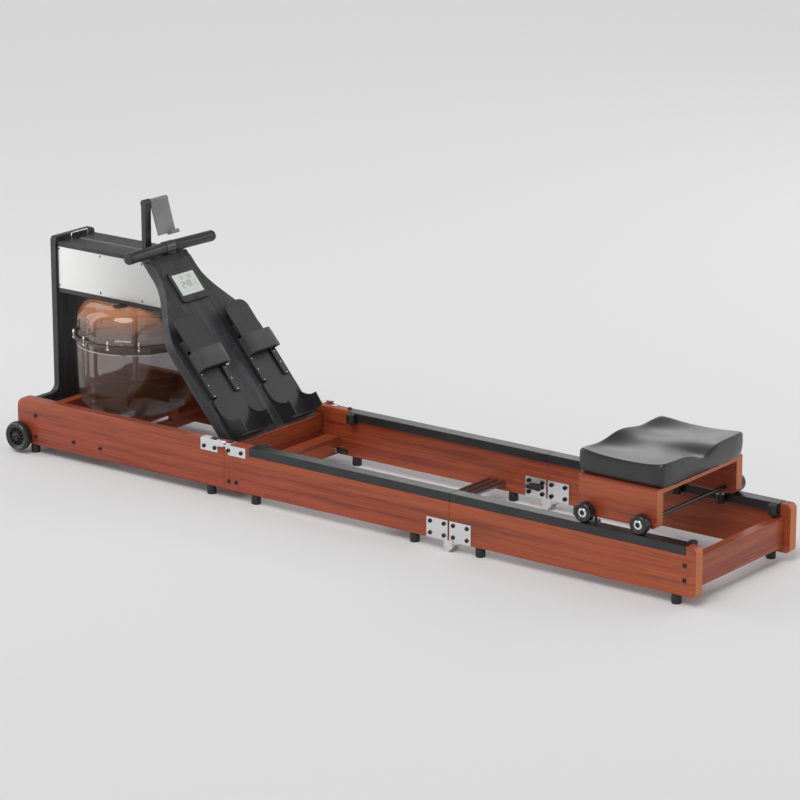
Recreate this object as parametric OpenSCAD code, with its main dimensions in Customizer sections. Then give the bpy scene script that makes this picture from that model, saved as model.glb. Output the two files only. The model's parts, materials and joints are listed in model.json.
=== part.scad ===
/* [Frame] */
// Length of each of the three folding rail sections
section_len = 686; // [600:1:760]
// Gap at each folding seam
seam_gap = 1; // [0.6:0.1:2]
// Width over the outer faces of the side rails
frame_width = 430; // [410:1:480]
// Height of a side rail
rail_height = 119; // [110:1:132]
// Thickness of a side rail
rail_thick = 27; // [24:0.5:32]
// Thickness of the boards that cross between the rails
cross_thick = 27; // [20:0.5:32]
// Corner radius at the front top end of the rails
front_round = 26; // [10:1:40]
// Corner radius at the rear end of the rails
rear_round = 13; // [5:1:25]

/* [Feet and fasteners] */
// Height of the rubber feet
foot_height = 24; // [22:1:34]
// Diameter of the rubber feet
foot_d = 24; // [16:1:30]
// Distance of the outer feet from the end of their section
foot_inset_end = 48; // [40:1:70]
// Distance of the mid section's front feet from the front seam
foot_inset_mid = 90; // [85:1:110]
// Distance of the mid section's rear feet from the rear seam
foot_inset_seam = 110; // [105:1:130]
// Distance of the rear section's front feet from the rear seam
foot_inset_rear = 81; // [76:1:84]
// Shank diameter of the side bolts
bolt_d = 6; // [5:0.5:8]
// Head diameter of the side bolts
bolt_head_d = 11; // [9:0.5:14]
// Head height of the side bolts
bolt_head_h = 3.5; // [2:0.5:5]

/* [Track] */
// Width of the aluminium track that caps the mid and rear rails
track_w = 35; // [30:1:40]
// Height of the aluminium track
track_h = 21; // [16:1:26]
// Length of full height wood left at each end of the track
track_end = 79; // [76:1:100]
// Length of full height wood behind the track
track_rear_end = 29; // [20:1:50]
// Diameter of the rubber end stops
stop_d = 22; // [16:1:26]
// Distance of an end stop from the end of the track
stop_inset = 14; // [12:1:24]

/* [Hinges] */
// Thickness of the steel hinge plates
plate_t = 3; // [2:0.5:4]
// Diameter of the hinge pins
hinge_pin_d = 6; // [5:0.5:8]
// Length of a front hinge plate on the front section
front_leaf_len = 54; // [46:1:70]
// Length of a front hinge plate on the mid section
mid_leaf_len = 63; // [50:1:72]
// Height of a front hinge plate
front_leaf_h = 26; // [20:1:34]
// Length of each rear hinge plate
rear_leaf_len = 62; // [54:1:80]
// Height of each rear hinge plate
rear_leaf_h = 51; // [44:1:60]
// Height of the rear hinge axis above the floor
rear_pivot_z = 9.5; // [9.2:0.1:11]

/* [Transport wheels] */
// Diameter of the transport wheels
wheel_d = 77; // [60:1:78]
// Width of the transport wheels
wheel_w = 24; // [18:1:30]
// Distance of the wheel axle from the front end of the rails
wheel_x = 16; // [14:1:40]
// Height of the wheel axle above the floor
wheel_z = 43; // [42:1:50]
// Diameter of the wheel axle
wheel_axle_d = 10; // [8:1:14]

/* [Tower] */
// Thickness of the front board
front_board_t = 18; // [14:1:24]
// Height of the top of the front board above the floor
front_board_top = 536; // [526:1:560]
// Half width of the upper front board
tower_half = 75; // [72:1:90]
// Height of the top of the deck above the floor
deck_top = 522.5; // [515:0.5:530]
// Thickness of the deck board
deck_t = 11.5; // [9:0.5:14]
// Half width of the deck board
deck_half = 69.5; // [66:0.5:70]
// Height of the top of the lower shelf board above the floor
shelf_top = 402; // [396:1:410]
// Thickness of the lower shelf board
shelf_t = 11; // [8:1:14]
// Thickness of the side panels
panel_t = 2; // [1:0.5:3]

/* [Footboard] */
// Slope of the footboard from level
board_slope = 49.5; // [47:0.5:52]
// Thickness of the footboard
board_t = 28; // [20:1:30]
// Half width of the footboard at its top
board_top_half = 73; // [72:1:80]
// Half width of the footboard beside the foot plates
board_low_half = 166; // [160:1:176]
// Distance of each foot plate's centre line from the middle
foot_plate_y = 97; // [95:1:100]
// Width of a foot plate
toe_plate_w = 100; // [84:1:104]
// Height of a foot plate's top above the footboard
toe_plate_h = 26; // [25:1:32]
// Thickness of a foot plate
toe_plate_t = 5; // [3:0.5:6]
// Width of the foot strap
foot_strap_w = 50; // [38:1:54]
// Thickness of the foot strap
foot_strap_t = 3; // [2:0.5:4]

/* [Console] */
// Length of the console case along the footboard
console_len = 88; // [84:1:100]
// Half width of the console case
console_half = 51; // [46:1:60]
// Height of the console case above the footboard
console_h = 6; // [4:0.5:10]
// Half width of the screen
screen_half = 41; // [34:1:44]
// Length of the screen along the footboard
screen_len = 60; // [50:1:62]

/* [Handle and strap] */
// Half length of the handle
handle_half = 164; // [150:1:200]
// Diameter of the handle grips
grip_d = 29; // [26:1:34]
// Diameter of the handle core
handle_core_d = 20; // [16:1:22]
// Bend of each half of the handle
handle_bend = 3.5; // [0:0.5:6]
// Height of the handle axis above the deck
handle_lift = 19.2; // [19:0.1:24]
// Width of the pull strap
strap_w = 16; // [12:1:17]
// Thickness of the pull strap
strap_t = 1.5; // [1:0.1:2]
// Diameter of the strap roller
strap_roller_d = 24; // [20:1:28]
// Diameter of the strap wound on the drum
drum_d = 60; // [50:1:70]

/* [Phone holder] */
// Height of the phone holder's bar above the deck
phone_bar_lift = 133; // [120:1:150]
// Width of the phone plate
phone_plate_w = 66; // [56:1:72]
// Length of the phone plate
phone_plate_len = 88; // [80:1:92]
// Lean of the phone plate from upright
phone_lean = 17; // [12:1:24]

/* [Water tank] */
// Distance of the tank axis from the front end of the rails
tank_x = 216; // [208:1:218]
// Outer radius of the tank wall
tank_r = 150; // [140:1:152]
// Wall thickness of the tank
tank_wall = 4; // [3:0.5:5]
// Height of the tank bottom above the floor
tank_bottom_z = 104; // [100:1:112]
// Height of the tank's joint above the floor
tank_joint_z = 302; // [296:1:306]
// Radius of the bowl's lower corner
bowl_round = 55; // [45:1:62]
// Radius of the dome's shoulder
dome_round = 52; // [44:1:58]
// Width of the flange that joins bowl and dome
flange_w = 11; // [10:0.5:12]
// Number of studs round the flange
stud_count = 12; // [8:1:16]
// Radius of the impeller blades
blade_r = 112; // [90:1:118]
// Height of the impeller blades
blade_h = 46; // [36:1:60]
// Number of impeller blades
blade_count = 6; // [4:1:8]
// Diameter of the impeller shaft
shaft_d = 16; // [14:1:18]

/* [Seat] */
// Length of the seat pad along the rails
pad_len = 237; // [220:1:250]
// Width of the seat pad
pad_w = 350; // [330:1:360]
// Height of the seat pad at its corners
pad_h = 61; // [50:1:66]
// Distance of the seat's centre from the rear end of the rails
seat_from_rear = 237; // [236:1:400]
// Length of the seat's side boards
side_board_len = 215; // [200:1:225]
// Thickness of the seat's side boards
side_board_t = 25; // [20:1:26]
// Gap between the track and the side boards
side_board_gap = 10; // [8:1:12]
// Height of the seat's side boards
side_board_h = 93; // [86:1:100]
// Diameter of the seat rollers
roller_d = 46; // [42:1:50]
// Width of the seat rollers
roller_w = 24; // [18:1:24]
// Diameter of the seat axles
axle_d = 10; // [8:1:12]
// Distance between the two seat axles
axle_span = 152; // [140:1:160]
// Diameter of the side guide rollers
guide_d = 22; // [20:0.5:22.5]
// Distance between the guide rollers on one side
guide_span = 122; // [100:1:130]

/* [Hidden] */
$fn = 48;

// Clearances
fit = 0.06; // running fit on a radius
slack = 0.3; // between parts that move past each other
hole_gap = 0.15; // radial gap of a bolt in its hole

// Colours
cherry = [0.6, 0.3, 0.2];
black_wood = [0.2, 0.2, 0.2];
steel = [0.85, 0.85, 0.86];
dark = [0.12, 0.12, 0.12];
grey = [0.45, 0.45, 0.46];
smoke = [0.45, 0.33, 0.26, 0.5];

// Stations along the frame, from the front end of the rails
front_end = section_len;
mid_start = front_end + seam_gap;
mid_end = mid_start + section_len;
rear_start = mid_end + seam_gap;
rear_end = rear_start + section_len;
front_x = -(rear_end + wheel_x - wheel_d / 2) / 2;
half_out = frame_width / 2;
half_in = half_out - rail_thick;
rail_mid_y = (half_out + half_in) / 2;
rail_low = foot_height;
rail_top = rail_low + rail_height;
rail_low_edge = rail_top - track_h;
bolt_r = bolt_d / 2;
plate_out = half_out + plate_t;
ear_gap = 0.25;
ear_out = plate_out + ear_gap + plate_t;

// Front hinge axis
front_pivot_x = front_end + seam_gap / 2;
front_pivot_z = rail_top;
ear_r = hinge_pin_d / 2 + 4;
leaf_low = rail_top - 3 - front_leaf_h;
tab_t = 2;

// Rear hinge axis
rear_pivot_x = mid_end + seam_gap / 2;
rear_leaf_low = rail_low + 1.5;
rear_ear_r = rear_pivot_z - 1.3;
arm_w = 14;
arm_lap = 5;

// Stations of the side bolts
front_bolts_at = [[62, 102], [62, 47], [191, 54], [281, 54]];
mid_bolts_at = [[mid_start + 15, 47], [mid_start + 38, 47]];
cross_back = rear_end - 17;
rear_bolt_z = [98, 63];
bolt_len = rail_thick + 12;

// Cross boards
nose_board_x = 62 - cross_thick / 2;
nose_board_low = rail_low + 10;
nose_board_top = rail_top - 27;
heel_board_x = front_end - 10 - cross_thick;
heel_board_top = 124;
heel_board_low = rail_low;
heel_chamfer = 2.2; // clears the heel plates when they are slid out
rear_board_low = rail_low + 14;
rear_board_top = rail_top - 33;

// Transport wheels, between the rails' outer faces and the axle heads
wheel_in_y = half_out + 3;
wheel_out_y = wheel_in_y + wheel_w;

// Footboard line and frame: u runs down the slope, n stands off the face, and its foot meets the heel board
slope_cos = cos(board_slope);
slope_sin = sin(board_slope);
board_foot_gap = 11.638;
board_z = 519;
board_x = front_end - board_foot_gap - (board_z - heel_board_top) * slope_cos / slope_sin;
board_foot_u = (board_z - heel_board_top) / slope_sin;
deck_low = deck_top - deck_t;
shelf_low = shelf_top - shelf_t;
// x of the footboard's back face at a height
function board_back(z) = board_x - board_t * slope_sin
    + (board_z - board_t * slope_cos - z) / slope_sin * slope_cos;
function board_front(z) = board_x + (board_z - z) / slope_sin * slope_cos;

// Tower: end of the deck, side panels, the battens that they are screwed to and the handle's rests
deck_end_x = board_front(deck_low);
panel_out_y = deck_half - 0.5;
panel_in_y = panel_out_y - panel_t;
batten = 12;
screw_r = 1.3;
panel_screw_x = [front_board_t + 6, board_back(deck_low) - 4];
panel_screws_at = [for (x = concat(panel_screw_x, (panel_screw_x[0] + panel_screw_x[1]) / 2),
    z = [deck_low - 6, shelf_top + 7]) [x, z]];

// Footboard outline
flare_from = 45;
flare_to = 245;

// Foot plates along the slope
toe_from = 172;
strap_from = 271;
strap_to = strap_from + foot_strap_w;
pedestal_to = 262;
guide_half = 45;
guide_w = 14;
guide_h = 11;
guide_from = toe_from + 60;
guide_to = 394;
guide_lip = 3;
ring_room = 14; // room beside the toe plate for the strap's ring

// Heel plates: they lie on the footboard between the guides and end in a cup
heel_t = 5;
heel_from = 300;
heel_to = 513;
heel_half = guide_half - guide_w / 2 - slack;
cup_half = 54;
cup_wall = 3.5;
cup_from = 430;
cup_rise = 46.5;
cup_end_h = 16;

// Console along the slope
console_from = 45;
screen_from = console_from + 10;
button_u = console_from + console_len - 6;
button_len = 14;
button_w = 5;
button_travel = 1;

// Handle
handle_x = board_x - 6;
handle_z = deck_top + handle_lift;
clamp_half = 17;
rest_y = 40;
rest_x = handle_x + (rest_y + 6) * tan(handle_bend);
rest_half = 9;
rest_top = handle_z - grip_d / 2 + 4;

// Strap path
roller_x = 38;
groove_depth = 2;
groove_w = strap_w + 2;
strap_low_z = deck_top - groove_depth + slack;
roller_r = strap_roller_d / 2;
wrap_r = roller_r + 0.1;
roller_z = strap_low_z - wrap_r;
roller_pin_r = 3;
pin_half = groove_w / 2 + 4;
wind_r = drum_d / 2;
wind_layers = 3;
drum_flange_t = 2;
strap_run_z = roller_z - wrap_r - strap_t / 2;
strap_lead = roller_r / 2; // flat run before the twist, clear of the roller
drum_h = strap_w + 1 + 2 * drum_flange_t;
drum_z0 = strap_run_z - drum_h / 2;
drum_core_r = wind_r - wind_layers * strap_t;

// Phone holder
phone_x = board_x - 47;
phone_z = deck_top + phone_bar_lift;
phone_post_y = -33;
phone_post_w = 22;
phone_bar_r = 6;
phone_tab_y = 46;

// Tank
joint_gap = 2;
flange_t = 4.5;
dome_top = shelf_low - 1;
bowl_flange_z = tank_joint_z - joint_gap / 2;
dome_flange_z = tank_joint_z + joint_gap / 2;
stud_r = 2.5;
stud_circle = tank_r + flange_w / 2;
shaft_r = shaft_d / 2;
neck_r = shaft_r + 6;
blade_z = tank_bottom_z + tank_wall + 22;
shaft_low = blade_z - 8;
cradle_beams = [191, 281];
cradle_low = rail_low + 18;
cradle_top = cradle_low + 24;
cradle_post_y = 58;
plug_r = 18;
plug_at = tank_r - 2 - dome_round - 8;
plug_turn = -73.5;

// Seat
seat_x = rear_end - seat_from_rear;
board_low_z = rail_top + side_board_gap;
board_top_z = board_low_z + side_board_h;
board_out_y = half_out - track_w;
board_in_y = board_out_y - side_board_t;
axle_r = axle_d / 2;
roller_rad = roller_d / 2;
axle_z = rail_top + roller_rad + slack;
roller_in_y = half_out - roller_w - 2;
guide_r = guide_d / 2;
guide_y = board_out_y - 0.6 - guide_r;
guide_x = [for (s = [-1, 1]) seat_x - 5 + s * guide_span / 2];
guide_z0 = rail_low_edge - 2;
guide_h2 = 22;
guide_pin_r = 3;

// Tracks and their stops
mid_track_from = mid_start + track_end;
rear_track_to = rear_end - track_rear_end;
stop_r = stop_d / 2;
stop_y = board_out_y - stop_r - 0.3;
front_stop_x = mid_track_from + stop_inset + 2;
rear_stop_x = rear_track_to - stop_inset + 4;

// Metal cross plate of the mid section
cross_plate_x = mid_end - 181;
cross_plate_w = 58;
cross_plate_z = 42;
cross_plate_t = 6;

// Low cross board of the mid section
low_board_x = mid_start + 3;
low_board_w = 44;
low_board_z = rail_low + 4;
low_board_h = 44;

// Release pedal
pedal_y = half_in - 25;
pedal_x = low_board_x + low_board_w + 9;
pedal_z = 45;

// Seam latch on the far inner side
latch_x = rear_pivot_x - 22;
latch_z = rear_leaf_low + 27;
latch_pin_r = 3;
latch_t = 7;
latch_out_y = half_in - plate_t - bolt_head_h - slack;

// Points on an arc, for outlines
function arc(cx, cy, r, from, to, steps = 6) =
    [for (i = [0 : steps]) let (a = from + (to - from) * i / steps) [cx + r * cos(a), cy + r * sin(a)]];
function smooth(t) = let (c = max(0, min(1, t))) c * c * (3 - 2 * c);

// Moves a piece from the rails' own station frame to the part's origin
module station() { translate([front_x, 0, 0]) children(); }
module both_sides() {
    children();
    mirror([0, 1, 0]) children();
}
// Board with an outline in x and z, from y to y + t
module board_at(y, t) { translate([0, y + t, 0]) rotate([90, 0, 0]) linear_extrude(t) children(); }
// Round bar along y
module bar_y(x, z, r, y0, y1) { translate([x, y0, z]) rotate([-90, 0, 0]) cylinder(r = r, h = y1 - y0); }
// Board with rectangular sides between two corners
module block(a, b) { translate(a) cube(b - a); }
// Puts a piece on the footboard: x runs down the slope and z stands off the face
module on_board() { translate([board_x, 0, board_z]) rotate([0, board_slope, 0]) children(); }
module bolt_hole(x, z, depth) { bar_y(x, z, bolt_r + hole_gap, half_out - depth, half_out + 1); }
module leaf_hole(x, z) { bar_y(x, z, bolt_r + hole_gap, half_out - 1, plate_out + 1); }

// Button head bolt from the side, with a hexagon socket
module side_bolt(x, z, y_face, depth) {
    difference() {
        union() {
            bar_y(x, z, bolt_head_d / 2 - 1.2, y_face, y_face + bolt_head_h);
            bar_y(x, z, bolt_head_d / 2, y_face, y_face + bolt_head_h * 0.6);
            bar_y(x, z, bolt_r, y_face - depth, y_face + 1);
        }
        translate([x, y_face + bolt_head_h - 2, z]) rotate([-90, 0, 0]) cylinder(r = bolt_r * 0.9,
            h = 3, $fn = 6);
    }
}

module foot(x) {
    translate([x, rail_mid_y, 0]) {
        cylinder(r = foot_d / 2, h = foot_height);
        translate([0, 0, foot_height]) cylinder(r = bolt_r, h = 14);
    }
}
module foot_hole(x) { translate([x, rail_mid_y, rail_low - 1]) cylinder(r = bolt_r + hole_gap,
    h = 16.5); }

// Front section
front_feet_x = [foot_inset_end, front_end - foot_inset_end - 3];
front_leaf_to = front_end - 17;
front_leaf_from = front_leaf_to - front_leaf_len;
front_leaf_bolt_z = leaf_low + front_leaf_h / 2 - 2;
front_leaf_bolts = [for (x = [front_leaf_from + 11, front_leaf_to - 9]) [x, front_leaf_bolt_z]];

module front_rails() {
    color(cherry) station() both_sides() difference() {
        board_at(half_in, rail_thick) polygon(concat(
            arc(front_round, rail_top - front_round, front_round, 180, 90),
            [[front_end, rail_top], [front_end, rail_low]],
            arc(8, rail_low + 8, 8, 270, 180)));
        for (b = front_bolts_at) bolt_hole(b[0], b[1], rail_thick + 1);
        for (b = front_leaf_bolts) bolt_hole(b[0], b[1], 20);
        for (x = front_feet_x) foot_hole(x);
        bar_y(wheel_x, wheel_z, wheel_axle_d / 2 + hole_gap, half_out - 20, half_out + 1);
    }
}

module front_cross_boards() {
    color(cherry) station() {
        difference() {
            block([nose_board_x, -half_in, nose_board_low], [nose_board_x + cross_thick, half_in,
                nose_board_top]);
            both_sides() for (i = [0, 1]) let (b = front_bolts_at[i]) bolt_hole(b[0], b[1], bolt_len + 1);
        }
        board_at(-half_in, 2 * half_in) polygon([[heel_board_x, heel_board_low],
            [heel_board_x, heel_board_top], [heel_board_x + cross_thick - heel_chamfer, heel_board_top],
            [heel_board_x + cross_thick, heel_board_top - 1.4 * heel_chamfer],
            [heel_board_x + cross_thick, heel_board_low]]);
    }
}

module front_feet() { color(dark) station() both_sides() for (x = front_feet_x) foot(x); }

module front_bolts() {
    color(dark) station() both_sides() {
        for (b = front_bolts_at) side_bolt(b[0], b[1], half_out, bolt_len);
        for (b = front_leaf_bolts) side_bolt(b[0], b[1], plate_out, 20);
        bar_y(wheel_x, wheel_z, wheel_axle_d / 2, half_out - 20, wheel_out_y + slack + 1);
        bar_y(wheel_x, wheel_z, 9, wheel_out_y + slack, wheel_out_y + slack + 3);
        for (p = panel_screws_at) {
            bar_y(p[0], p[1], screw_r + 1.4, panel_out_y, panel_out_y + 1.4);
            bar_y(p[0], p[1], screw_r, panel_in_y, panel_out_y + 1);
        }
    }
}

// Front hinge: leaf on the front section with its ear and pin
module front_hinges() {
    color(steel) station() both_sides() difference() {
        union() {
            block([front_leaf_from, half_out, leaf_low], [front_leaf_to, plate_out, rail_top]);
            block([front_leaf_to - 1, half_out, rail_top - 12], [front_pivot_x, plate_out,
                rail_top + ear_r - 1]);
            bar_y(front_pivot_x, front_pivot_z, ear_r, half_out, plate_out);
            block([front_leaf_from, half_out - 20, rail_top], [front_leaf_to, plate_out,
                rail_top + tab_t]);
            bar_y(front_pivot_x, front_pivot_z, hinge_pin_d / 2, half_out, ear_out + 1);
            translate([0, ear_out + ear_gap, 0]) bar_y(front_pivot_x, front_pivot_z,
                hinge_pin_d / 2 + 2.5, 0, 3);
        }
        for (b = front_leaf_bolts) leaf_hole(b[0], b[1]);
    }
}

// Tower
module front_board() {
    shelf = rail_top - 16;
    flare = 22;
    color(black_wood) station() rotate([90, 0, 90]) linear_extrude(front_board_t) polygon(concat(
        [[-half_in, nose_board_low], [half_in, nose_board_low], [half_in, shelf]],
        arc(tower_half + flare, shelf + flare, flare, 270, 180),
        arc(tower_half - 12, front_board_top - 12, 12, 0, 90),
        arc(-tower_half + 12, front_board_top - 12, 12, 90, 180),
        arc(-tower_half - flare, shelf + flare, flare, 0, -90),
        [[-half_in, shelf]]));
}

// Deck with its strap groove, roller slot and handle rests, and the lower shelf with the shaft hole
module tower_shelves() {
    color(black_wood) station() {
        difference() {
            union() {
                board_at(-deck_half, 2 * deck_half) polygon([[front_board_t, deck_low],
                    [front_board_t, deck_top],
                    [board_front(deck_top), deck_top], [deck_end_x, deck_low]]);
                both_sides() difference() {
                    block([rest_x - rest_half, rest_y, deck_top - 1],
                        [min(rest_x + rest_half, board_front(deck_top)), rest_y + 12, rest_top]);
                    bar_y(rest_x, handle_z, grip_d / 2 + slack, rest_y - 5, rest_y + 20);
                }
                both_sides() block([front_board_t, panel_in_y - batten, deck_low - batten],
                    [board_back(deck_low) - 4, panel_in_y, deck_low + 1]);
            }
            block([roller_x, -groove_w / 2, deck_top - groove_depth], [deck_end_x + 1, groove_w / 2,
                deck_top + 1]);
            block([roller_x - roller_r - 3, -groove_w / 2, deck_low - 1],
                [roller_x + roller_r + 3, groove_w / 2, deck_top + 1]);
            // Seat of the roller's pin in the deck's underside
            block([roller_x - roller_pin_r - 0.2, -pin_half - 0.5, deck_low - 1],
                [roller_x + roller_pin_r + 0.2, pin_half + 0.5, roller_z + roller_pin_r + 0.2]);
        }
        difference() {
            union() {
                board_at(-deck_half, 2 * deck_half) polygon([[front_board_t, shelf_low],
                    [front_board_t, shelf_top],
                    [board_back(shelf_top), shelf_top], [board_back(shelf_low), shelf_low]]);
                both_sides() block([front_board_t, panel_in_y - batten, shelf_top - 1],
                    [board_back(shelf_top) - 12, panel_in_y, shelf_top + batten]);
            }
            translate([tank_x, 0, shelf_low - 1]) cylinder(r = neck_r + hole_gap, h = shelf_t + 2);
        }
    }
}

module side_panels() {
    color(steel) station() both_sides() difference() {
        board_at(panel_in_y, panel_t) polygon([[front_board_t, shelf_top], [front_board_t, deck_low],
            [board_back(deck_low), deck_low], [board_back(shelf_top), shelf_top]]);
        for (p = panel_screws_at) bar_y(p[0], p[1], screw_r + hole_gap, panel_in_y - 1, panel_out_y + 1);
    }
}

// Footboard
function board_half(u) = board_top_half
    + (board_low_half - board_top_half) * smooth((u - flare_from) / (flare_to - flare_from));
module footboard() {
    side = concat([[-30, board_top_half]], [for (u = [flare_from : 20 : flare_to]) [u, board_half(u)]],
        [[board_foot_u + 40, board_low_half]]);
    other = [for (i = [len(side) - 1 : -1 : 0]) [side[i][0], -side[i][1]]];
    color(black_wood) station() difference() {
        on_board() translate([0, 0, -board_t]) linear_extrude(board_t) polygon(concat(side, other));
        block([0, -half_out, deck_low], [board_x + 100, half_out, deck_top + 80]);
        block([board_x, -half_out, -rail_low], [front_end + 60, half_out, heel_board_top]);
    }
}

// Console on the footboard
module console_case() {
    color(grey) station() on_board() difference() {
        linear_extrude(console_h) polygon(concat(
            arc(console_from + console_len - 10, console_half - 10, 10, 0, 90),
            arc(console_from + 10, console_half - 10, 10, 90, 180),
            arc(console_from + 10, -console_half + 10, 10, 180, 270),
            arc(console_from + console_len - 10, -console_half + 10, 10, 270, 360)));
        block([screen_from, -screen_half, console_h - 2], [screen_from + screen_len, screen_half,
            console_h + 1]);
        block([button_u - button_w / 2, -button_len / 2, 1],
            [button_u + button_w / 2, button_len / 2, console_h + 1]);
    }
}
module console_screen() {
    color("lightgray") station() on_board() block([screen_from + 0.1, 0.1 - screen_half, console_h - 2],
        [screen_from + screen_len - 0.1, screen_half - 0.1, console_h - 0.8]);
}
module console_button() {
    cut = 0.15;
    color(dark) station() on_board()
        block([button_u - button_w / 2 + cut, cut - button_len / 2, 1 + button_travel + cut],
            [button_u + button_w / 2 - cut, button_len / 2 - cut, console_h + button_travel - cut]);
}

// Foot plates: toe plate on its pedestal with two guide rails whose lips hold the heel plate down
module toe_plates() {
    round_r = 24;
    outer = toe_plate_w / 2;
    inner = outer - ring_room;
    plate_low = toe_plate_h - toe_plate_t;
    color(dark) station() on_board() for (y = [-foot_plate_y, foot_plate_y]) translate([0, y, 0]) {
        translate([0, 0, plate_low]) linear_extrude(toe_plate_t) polygon(concat([[strap_to, inner]],
            arc(toe_from + round_r, inner - round_r, round_r, 90, 180),
            arc(toe_from + round_r, -outer + round_r, round_r, 180, 270),
            [[strap_to, -outer]]));
        block([toe_from + 20, -30, 0], [pedestal_to, 30, plate_low + 0.5]);
        for (side = [-1, 1]) translate([0, side * guide_half, 0]) {
            block([guide_from, -guide_w / 2, 0], [guide_to, guide_w / 2, guide_h]);
            block([guide_from, min(0, -side * (guide_w / 2 + guide_lip)), heel_t + 2 * slack],
                [guide_to, max(0, -side * (guide_w / 2 + guide_lip)), guide_h]);
        }
        block([guide_from, -guide_half - guide_w / 2, guide_h - 1], [pedestal_to, inner,
            plate_low + 0.5]);
    }
}

// Heel plate between the guides, with a cup whose side walls rise in a hollow curve
module heel_plate(side) {
    wide_from = guide_to + 1;
    color(dark) station() on_board() translate([0, side * foot_plate_y, slack]) {
        linear_extrude(heel_t) polygon([[heel_from, heel_half], [wide_from, heel_half],
            [wide_from + 6, cup_half],
            [heel_to, cup_half], [heel_to, -cup_half], [wide_from + 6, -cup_half], [wide_from,
                -heel_half],
            [heel_from, -heel_half]]);
        for (y = [-cup_half, cup_half - cup_wall]) board_at(y, cup_wall) polygon(concat(
            [[cup_from - 8, heel_t - 1], [cup_from - 8, heel_t]],
            arc(cup_from, heel_t + cup_rise, cup_rise, 270, 360, 8),
            [[heel_to, heel_t + cup_rise - 3], [heel_to, heel_t - 1]]));
        block([heel_to - cup_wall, -cup_half, heel_t - 1], [heel_to, cup_half, heel_t + cup_end_h]);
    }
}
module left_heel_plate() { heel_plate(-1); }
module right_heel_plate() { heel_plate(1); }

// Foot strap: an arch of webbing over each toe plate
strap_half = toe_plate_w / 2 + slack;
strap_rise = 14;
strap_leg_n = guide_h + slack;
function flat_cos(a) = abs(cos(a)) > 0.01 ? sign(cos(a)) * pow(abs(cos(a)), 0.4) : 0;
module arch(offset_out) {
    half = strap_half + offset_out;
    leg_n = strap_leg_n - (offset_out > 0 ? 0 : 1);
    polygon(concat([[half, leg_n]],
        [for (a = [0 : 15 : 180])
            [half * flat_cos(a), toe_plate_h + 1 + (strap_rise + offset_out) * pow(sin(a), 0.8)]],
        [[-half, leg_n]]));
}
module foot_straps() {
    color(dark) station() on_board() both_sides() translate([strap_from, foot_plate_y, 0])
        rotate([90, 0, 90]) linear_extrude(foot_strap_w) difference() {
            arch(foot_strap_t);
            arch(0);
        }
}

// Rectangular rings round the strap's +y leg
module strap_buckles() {
    wire = 3;
    ring_in = strap_half - slack;
    ring_out = ring_in + 7.5;
    ring_n = strap_leg_n + 2;
    color(steel) station() on_board() for (y = [-foot_plate_y, foot_plate_y]) translate([0, y, ring_n])
        difference() {
            block([strap_from - wire - 1, ring_in - wire, 0], [strap_to + wire + 1, ring_out + wire,
                wire]);
            block([strap_from - 1, ring_in, -1], [strap_to + 1, ring_out, wire + 1]);
        }
}

// Transport wheels
module wheel(side) {
    tread_r = wheel_d / 2;
    bore = wheel_axle_d / 2 + fit;
    hub = wheel_axle_d / 2 + 6;
    crown = 6;
    rim = tread_r - 2 * crown;
    color(dark) station() mirror([0, side > 0 ? 0 : 1, 0]) translate([wheel_x, wheel_in_y, wheel_z])
        rotate([-90, 0, 0]) rotate_extrude() polygon(concat(
            [[bore, 0], [hub, 0], [hub, 4], [rim - 1, 6], [rim, 1], [tread_r - crown, 0]],
            [for (a = [-60 : 20 : 60])
                [tread_r - crown + crown * cos(a), wheel_w / 2 + wheel_w / 2 * sin(a) / sin(60)]],
            [[tread_r - crown, wheel_w], [rim, wheel_w - 1], [rim - 1, wheel_w - 6],
                [hub, wheel_w - 4], [hub, wheel_w], [bore, wheel_w]]));
}
module left_wheel() { wheel(-1); }
module right_wheel() { wheel(1); }

// Water tank
module tank_bowl() {
    low_r = tank_r - bowl_round;
    zc = tank_bottom_z + bowl_round;
    color(smoke) station() translate([tank_x, 0, 0]) difference() {
        rotate_extrude($fn = 96) polygon(concat(
            [[0, tank_bottom_z]], arc(low_r, zc, bowl_round, 270, 360),
            [[tank_r, bowl_flange_z - flange_t], [tank_r + flange_w, bowl_flange_z - flange_t],
                [tank_r + flange_w, bowl_flange_z], [tank_r - tank_wall, bowl_flange_z]],
            arc(low_r, zc, bowl_round - tank_wall, 360, 270), [[0, tank_bottom_z + tank_wall]]));
        stud_ring() cylinder(r = stud_r + hole_gap, h = 20, center = true, $fn = 24);
    }
}
module stud_ring() {
    for (i = [0 : stud_count - 1]) rotate([0, 0, (i + 0.5) * 360 / stud_count])
        translate([stud_circle, 0, tank_joint_z]) children();
}
module tank_dome() {
    wall_r = tank_r - 2;
    zc = dome_top - dome_round;
    color(smoke) station() translate([tank_x, 0, 0]) difference() {
        rotate_extrude($fn = 96) polygon(concat(
            [[wall_r - tank_wall, dome_flange_z], [tank_r + flange_w, dome_flange_z],
                [tank_r + flange_w, dome_flange_z + flange_t], [wall_r, dome_flange_z + flange_t]],
            arc(wall_r - dome_round, zc, dome_round, 0, 90),
            [[neck_r + hole_gap, dome_top], [neck_r + hole_gap, dome_top - tank_wall]],
            arc(wall_r - dome_round, zc, dome_round - tank_wall, 90, 0)));
        stud_ring() cylinder(r = stud_r + hole_gap, h = 20, center = true, $fn = 24);
        rotate([0, 0, plug_turn]) translate([plug_at, 0, dome_top - 10])
            cylinder(r = plug_r - 3 + hole_gap, h = 12);
    }
}
module tank_gasket() {
    color(dark) station() translate([tank_x, 0, bowl_flange_z]) difference() {
        cylinder(r = tank_r + 2, h = joint_gap, $fn = 96);
        translate([0, 0, -1]) cylinder(r = tank_r - tank_wall, h = joint_gap + 2, $fn = 96);
    }
}
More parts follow.
